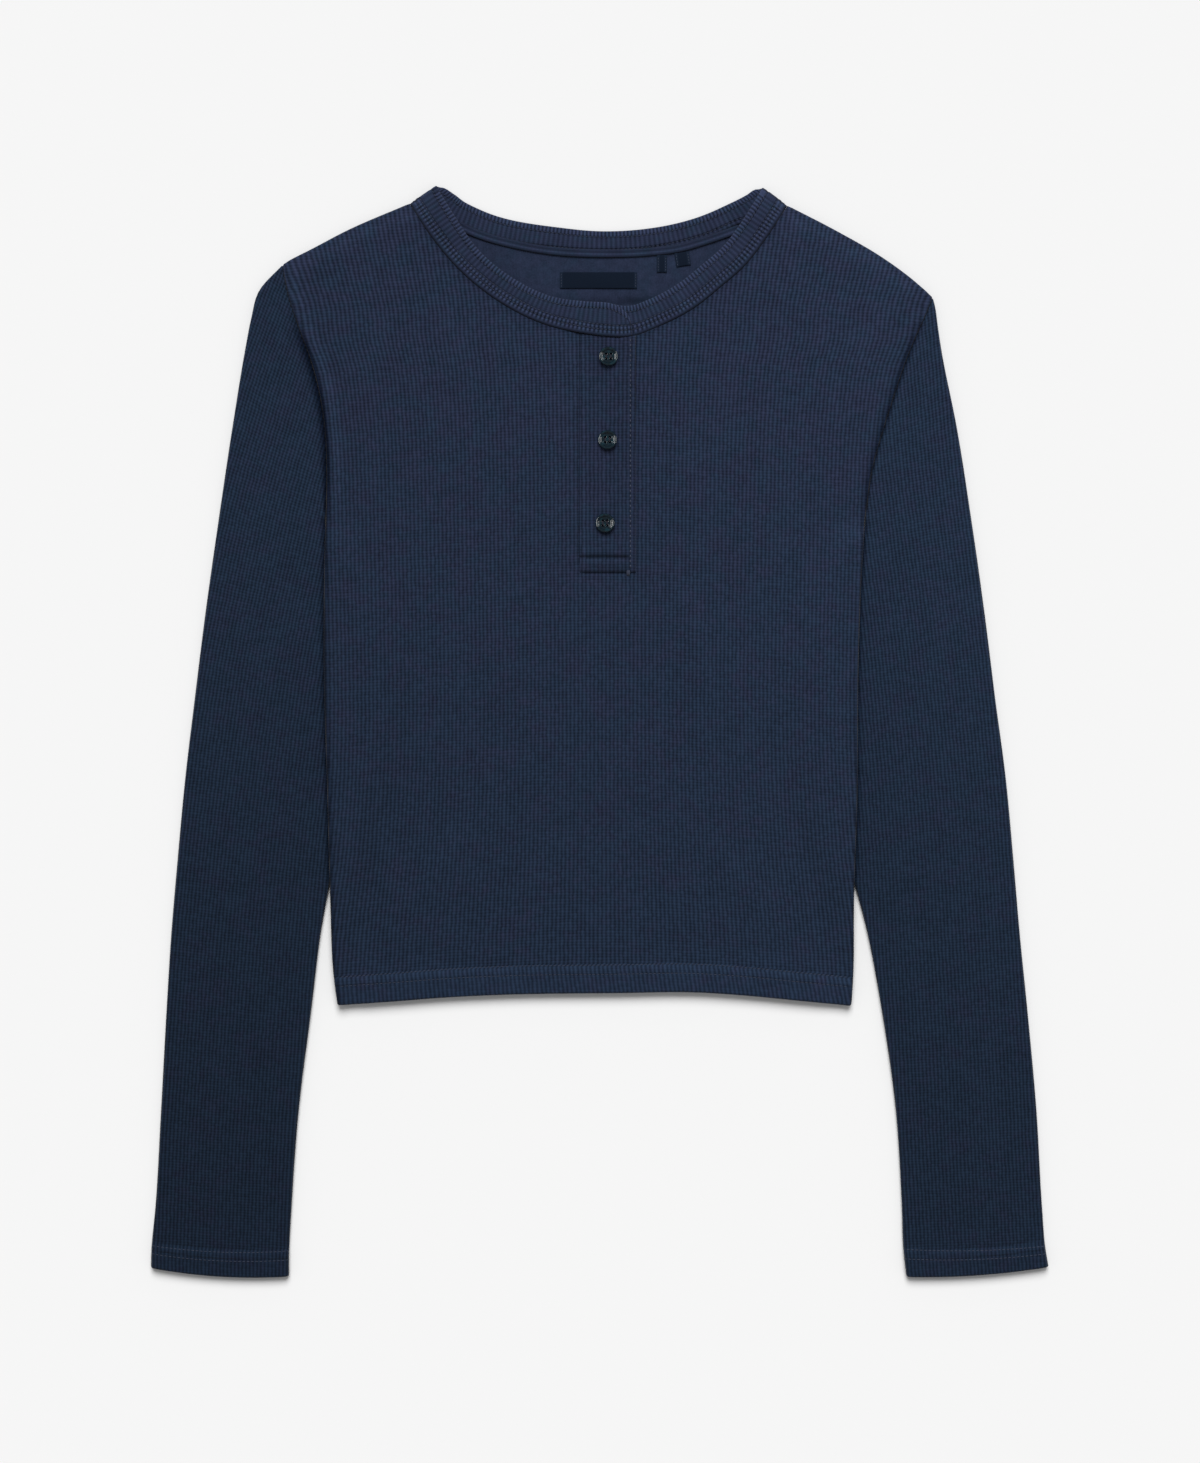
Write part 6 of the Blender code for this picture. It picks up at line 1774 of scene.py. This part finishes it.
def down_camera(lens):
    """A camera straight above the origin, so far up that its view is as wide as the frame."""
    data = bpy.data.cameras.new("camera")
    data.lens, data.sensor_width = lens, SENSOR
    data.clip_start, data.clip_end = 0.01, 60.0
    made = linked("camera", data)
    tall = FRAME_WIDTH * IMAGE_HEIGHT / IMAGE_WIDTH
    made.location = (0.0, 0.0, tall * lens / SENSOR)
    bpy.context.scene.camera = made


def soft_sun(strength, elevation, softness):
    """A soft sun from beyond the neck, at an elevation above the table."""
    data = bpy.data.lights.new("soft light", "SUN")
    data.energy, data.angle = strength, softness
    made = linked("soft light", data)
    made.rotation_euler = (elevation - np.pi / 2, 0.0, 0.0)
    made.visible_glossy = False


def polished_things():
    """The collection of the pieces that the glint lights shine on."""
    name = "polished"
    return bpy.data.collections.get(name) or bpy.data.collections.new(name)


def glint_light(name, place, power):
    """A soft panel of light turned to the origin, which shines on the polished pieces alone."""
    data = bpy.data.lights.new(name, "AREA")
    data.energy, data.shape = power, "RECTANGLE"
    data.size, data.size_y = GLINT_PANEL
    made = linked(name, data)
    made.location = place
    made.rotation_euler = Vector(place).to_track_quat("Z", "Y").to_euler()
    made.visible_diffuse = made.visible_camera = False
    made.light_linking.receiver_collection = polished_things()


def plain_world(level):
    """Even light from all round."""
    world = bpy.data.worlds.new("studio")
    world.use_nodes = True
    background = world.node_tree.nodes["Background"]
    background.inputs["Color"].default_value = (level, level, level, 1.0)
    background.inputs["Strength"].default_value = 1.0
    bpy.context.scene.world = world


# --- settings
def shade(name, description, default):
    return bpy.props.FloatVectorProperty(name=name, description=description, default=default, size=3,
                                         subtype="COLOR", min=0.0, max=1.0)


def number(name, description, default, low=0.0, high=1.0, **more):
    return bpy.props.FloatProperty(name=name, description=description, default=default, min=low,
                                   max=high, **more)


def length(name, description, default):
    return number(name, description, default, 0.0, 0.1, unit="LENGTH", subtype="DISTANCE", precision=5)


class TopKnitSettings(bpy.types.PropertyGroup):
    """Waffle knit of the body and sleeves."""

    rib: length("Rib", "Width of one waffle cell of the body", RIB)
    row: length("Row", "Height of one waffle cell of the body", ROW)
    sleeve_rib: length("Sleeve rib", "Width of one waffle cell of the sleeves", SLEEVE_RIB)
    sleeve_row: length("Sleeve row", "Height of one waffle cell of the sleeves", SLEEVE_ROW)
    relief: length("Relief", "Depth of the waffle pits", 0.45 * MM)
    # painted shade of the waffle: crests lighter and pits darker in the colour
    rib_painted_shade: number("Rib contrast", "How much lighter a rib's crest is than its groove", 0.70, 0.0, 2.0)
    row_painted_shade: number("Row contrast", "How much lighter a row's crest is than its groove", 0.30, 0.0, 2.0)
    cell_contrast: number("Cell contrast", "How much brightness differs from cell to cell", 0.26, 0.0, 2.0)
    gloss: number("Gloss", "Specular level of the yarn", 0.10)
    sheen: number("Sheen", "Soft sheen of the fibres", 0.10)
    # painted falloff of the light: body and sleeves grow darker downwards, away from the light beyond the
    # neck
    cuff_painted_shade: number("Cuff shade", "Brightness of the sleeves at the cuffs, beside the shoulders'", 0.665)
    lower_painted_shade: number("Lower shade", "Brightness of the body far below the hem, beside the chest's", 0.73)
    upper_painted_light: number("Upper shade", "The same far above the shoulders", 1.15, 0.0, 2.0)
    blue: shade("Blue", "Bluer dye of the body", (0.0132, 0.0232, 0.0454))
    violet: shade("Violet", "More violet dye of the body", (0.0163, 0.0215, 0.0450))
    sleeve_blue: shade("Sleeve blue", "Bluer dye of the sleeves", (0.0119, 0.0221, 0.0425))
    sleeve_violet: shade("Sleeve violet", "More violet dye of the sleeves", (0.0142, 0.0204, 0.0423))


class TopTrimSettings(bpy.types.PropertyGroup):
    """Neckband, placket, facing, labels and thread."""

    band_blue: shade("Band blue", "Bluer dye of the neckband", (0.0148, 0.0259, 0.0490))
    band_violet: shade("Band violet", "More violet dye of the neckband", (0.0179, 0.0236, 0.0490))
    facing_blue: shade("Facing blue", "Bluer dye of the neck facing", (0.0152, 0.0250, 0.0485))
    facing_violet: shade("Facing violet", "More violet dye of the neck facing", (0.0174, 0.0239, 0.0483))
    label: shade("Label", "Dye of the woven labels", (0.0078, 0.0125, 0.0233))
    thread: shade("Thread", "Dye of the sewing thread", (0.0380, 0.0470, 0.0770))
    button_thread: shade("Button thread", "Dye of the thread in the buttons", (0.0200, 0.0190, 0.0300))
    thread_radius: length("Thread radius", "Radius of the sewing thread", 0.22 * MM)


class TopButtonSettings(bpy.types.PropertyGroup):
    """Polished buttons."""

    resin: shade("Resin", "Dark part of the resin", (0.0003, 0.0065, 0.0120))
    cloud: shade("Cloud", "Lighter cloudy part of the resin", (0.0025, 0.0200, 0.0300))
    roughness: number("Roughness", "Roughness of the polish", 0.10)


class TopStageSettings(bpy.types.PropertyGroup):
    """Floor, light and camera."""

    floor: shade("Floor", "Colour of the floor", (0.80, 0.80, 0.80))
    sun: number("Light", "Strength of the soft light", 3.31, 0.0, 20.0)
    elevation: number("Elevation", "Height of the light above the table", np.radians(50.0), 0.0,
                      np.pi / 2, subtype="ANGLE")
    softness: number("Softness", "Width of the light in the sky", np.radians(38.0), 0.0, np.pi,
                     subtype="ANGLE")
    ambient: number("Ambient", "Brightness of the light from all round", 0.346, 0.0, 5.0)
    glint: number("Glint", "Power of the panels that shine in the buttons", 32.0, 0.0, 100.0)
    lens: number("Lens", "Focal length of the camera in millimetres", 90.0, 10.0, 300.0)


class ThermalTopSettings(bpy.types.PropertyGroup):
    """All settings of the top."""

    knit: bpy.props.PointerProperty(type=TopKnitSettings, name="Knit", description="Waffle knit")
    trim: bpy.props.PointerProperty(type=TopTrimSettings, name="Trim", description="Band, labels, thread")
    buttons: bpy.props.PointerProperty(type=TopButtonSettings, name="Buttons", description="Buttons")
    stage: bpy.props.PointerProperty(type=TopStageSettings, name="Stage", description="Floor and light")


def settings():
    return bpy.context.scene.thermal_top


# --- operators
def settle(piece, node):
    """The piece rides on the body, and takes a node's place where one is given."""
    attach(piece, BODY)
    if node:
        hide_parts(node)
    return piece


class TopOperator(bpy.types.Operator):
    """Base of the operators that make the top's pieces."""

    bl_options = {"REGISTER", "UNDO"}


def knit_material(name, part):
    """The waffle look of one part of the top, from the knit settings."""
    knit = settings().knit
    body = (name, knit, knit.blue, knit.violet, knit.rib, knit.row)
    if part == "placket":
        return knit_look(*body)
    if part == "body":
        return knit_look(*body, Hem(HEM_ROWS, 0.12, 0.10, (-0.60, 0.60, knit.lower_painted_shade, knit.upper_painted_light)),
                         violet_rise=0.30)
    return knit_look(name, knit, knit.sleeve_blue, knit.sleeve_violet, knit.sleeve_rib, knit.sleeve_row,
                     Hem(CUFF_ROWS, 0.02, 0.04, (-0.33, 0.22, knit.cuff_painted_shade, 1.0)), violet_rise=0.10)


class TOP_OT_body(TopOperator):
    """Makes the front and back panels"""

    bl_idname = "thermal_top.body"
    bl_label = "Body panels"

    def execute(self, context):
        look = knit_material("waffle knit, body", "body")
        front = panel("front_cloth", look, FRONT_SEAM, 1, front_middle)
        settle(front, "front_panel")
        back = panel("back_cloth", look, BACK_SEAM, -1, back_relief)
        settle(back, "back_panel")
        return {"FINISHED"}


class TOP_OT_sleeves(TopOperator):
    """Makes both sleeves"""

    bl_idname = "thermal_top.sleeves"
    bl_label = "Sleeves"

    def execute(self, context):
        look = knit_material("waffle knit, sleeves", "sleeve")
        for side, name in SLEEVE_NAMES.items():
            piece = settle(sleeve(side, look), name)
        return {"FINISHED"}


class TOP_OT_neck(TopOperator):
    """Makes the neckband, the facing of the back neck and the tape on it"""

    bl_idname = "thermal_top.neck"
    bl_label = "Neckband and facing"

    def execute(self, context):
        trim, knit = settings().trim, settings().knit
        sheen = (knit.gloss, knit.sheen)
        ribbed = band_look("ribbed knit, neckband", trim.band_blue, trim.band_violet, *sheen)
        smooth = jersey_look("single jersey, facing", trim.facing_blue, trim.facing_violet, *sheen)
        band = settle(neckband(ribbed), "neckband")
        facing = settle(back_neck_facing(smooth), "back_neck_facing")
        tape = settle(neck_tape(ribbed), "neck_tape")
        return {"FINISHED"}


class TOP_OT_placket(TopOperator):
    """Makes the two strips of the placket"""

    bl_idname = "thermal_top.placket"
    bl_label = "Placket"

    def execute(self, context):
        look = knit_material("waffle knit, placket", "placket")
        upper = settle(placket_upper(look), "placket_upper")
        under = settle(placket_under(look), "placket_under")
        return {"FINISHED"}


class TOP_OT_labels(TopOperator):
    """Makes the blank labels inside the back neck"""

    bl_idname = "thermal_top.labels"
    bl_label = "Labels"

    def execute(self, context):
        look = woven_look("woven satin, labels", settings().trim.label, 0.0)
        for slab in LABELS:
            piece = settle(label(slab, look), slab.name)
            if slab.width > 10.0:
                slab.width * MM
        return {"FINISHED"}


class TOP_OT_stitches(TopOperator):
    """Sews the hem, cuffs, neckband, placket and labels"""

    bl_idname = "thermal_top.stitches"
    bl_label = "Stitches"

    def execute(self, context):
        trim = settings().trim
        look = thread_look("sewing thread", trim.thread)
        radius = trim.thread_radius
        groups = (
            ("hem_stitches", hem_rows, "body_knit", 1.0),
            ("cuff_stitches", cuff_rows, "sleeve_knit", 1.0),
            ("band_stitches", band_rows, "band_knit", 0.9),
            ("placket_stitches", placket_rows, "placket_knit", 2.0),
            ("label_stitches", label_rows, "woven_label", 0.7),
        )
        for name, rows, slot, thick in groups:
            starts, ends = rows()
            settle(tubes(name, starts, ends, 0.12 * MM, radius * thick, look), None)
        return {"FINISHED"}


class TOP_OT_buttons(TopOperator):
    """Makes the three buttons and their thread"""

    bl_idname = "thermal_top.buttons"
    bl_label = "Buttons"

    def execute(self, context):
        values = settings().buttons
        look = resin_look("polished resin", values.resin, values.cloud, values.roughness)
        for spot in BUTTONS:
            made = button(spot, look)
            settle(made, spot.place)
            polished_things().objects.link(made)
        starts, ends = button_thread_ends()
        thread = thread_look("button thread", settings().trim.button_thread)
        settle(tubes("button_threads", starts, ends, 0.35 * MM, 0.2 * MM, thread, 6, 6), None)
        return {"FINISHED"}


class TOP_OT_stage(TopOperator):
    """Makes the floor, the light and the camera"""

    bl_idname = "thermal_top.stage"
    bl_label = "Stage"

    def execute(self, context):
        values = settings().stage
        flat_floor(FLOOR_HALF, FLOOR_Z, floor_look("matt paper floor", values.floor))
        plain_world(values.ambient)
        soft_sun(values.sun, values.elevation, values.softness)
        x, y, z = GLINT_PLACE
        glint_light("right glint", (-x, y, z), values.glint)
        glint_light("left glint", (x, y, z), values.glint * LEFT_GLINT)
        down_camera(values.lens)
        context.scene.view_settings.view_transform = "Standard"
        context.scene.view_settings.look = "None"
        return {"FINISHED"}


OPERATORS = (TOP_OT_stage, TOP_OT_body, TOP_OT_sleeves, TOP_OT_neck, TOP_OT_placket, TOP_OT_labels,
             TOP_OT_stitches, TOP_OT_buttons)


class TOP_PT_sidebar(bpy.types.Panel):
    """Lists the top's settings and operators"""

    bl_label = "Thermal top"
    bl_idname = "TOP_PT_sidebar"
    bl_space_type = "VIEW_3D"
    bl_region_type = "UI"
    bl_category = "Thermal top"

    def draw(self, context):
        for group in (settings().knit, settings().trim, settings().buttons, settings().stage):
            box = self.layout.box()
            for key in group.bl_rna.properties.keys():
                if key not in ("rna_type", "name"):
                    box.prop(group, key)
        for operator in OPERATORS:
            self.layout.operator(operator.bl_idname)


SETTINGS = (TopKnitSettings, TopTrimSettings, TopButtonSettings, TopStageSettings, ThermalTopSettings)


def register():
    for made in (*SETTINGS, *OPERATORS, TOP_PT_sidebar):
        bpy.utils.register_class(made)
    bpy.types.Scene.thermal_top = bpy.props.PointerProperty(type=ThermalTopSettings)


def unregister():
    del bpy.types.Scene.thermal_top
    for made in reversed((*SETTINGS, *OPERATORS, TOP_PT_sidebar)):
        bpy.utils.unregister_class(made)


def main():
    register()
    for operator in OPERATORS:
        name = operator.bl_idname.split(".")[1]
        getattr(bpy.ops.thermal_top, name)()


if __name__ == "__main__":
    main()
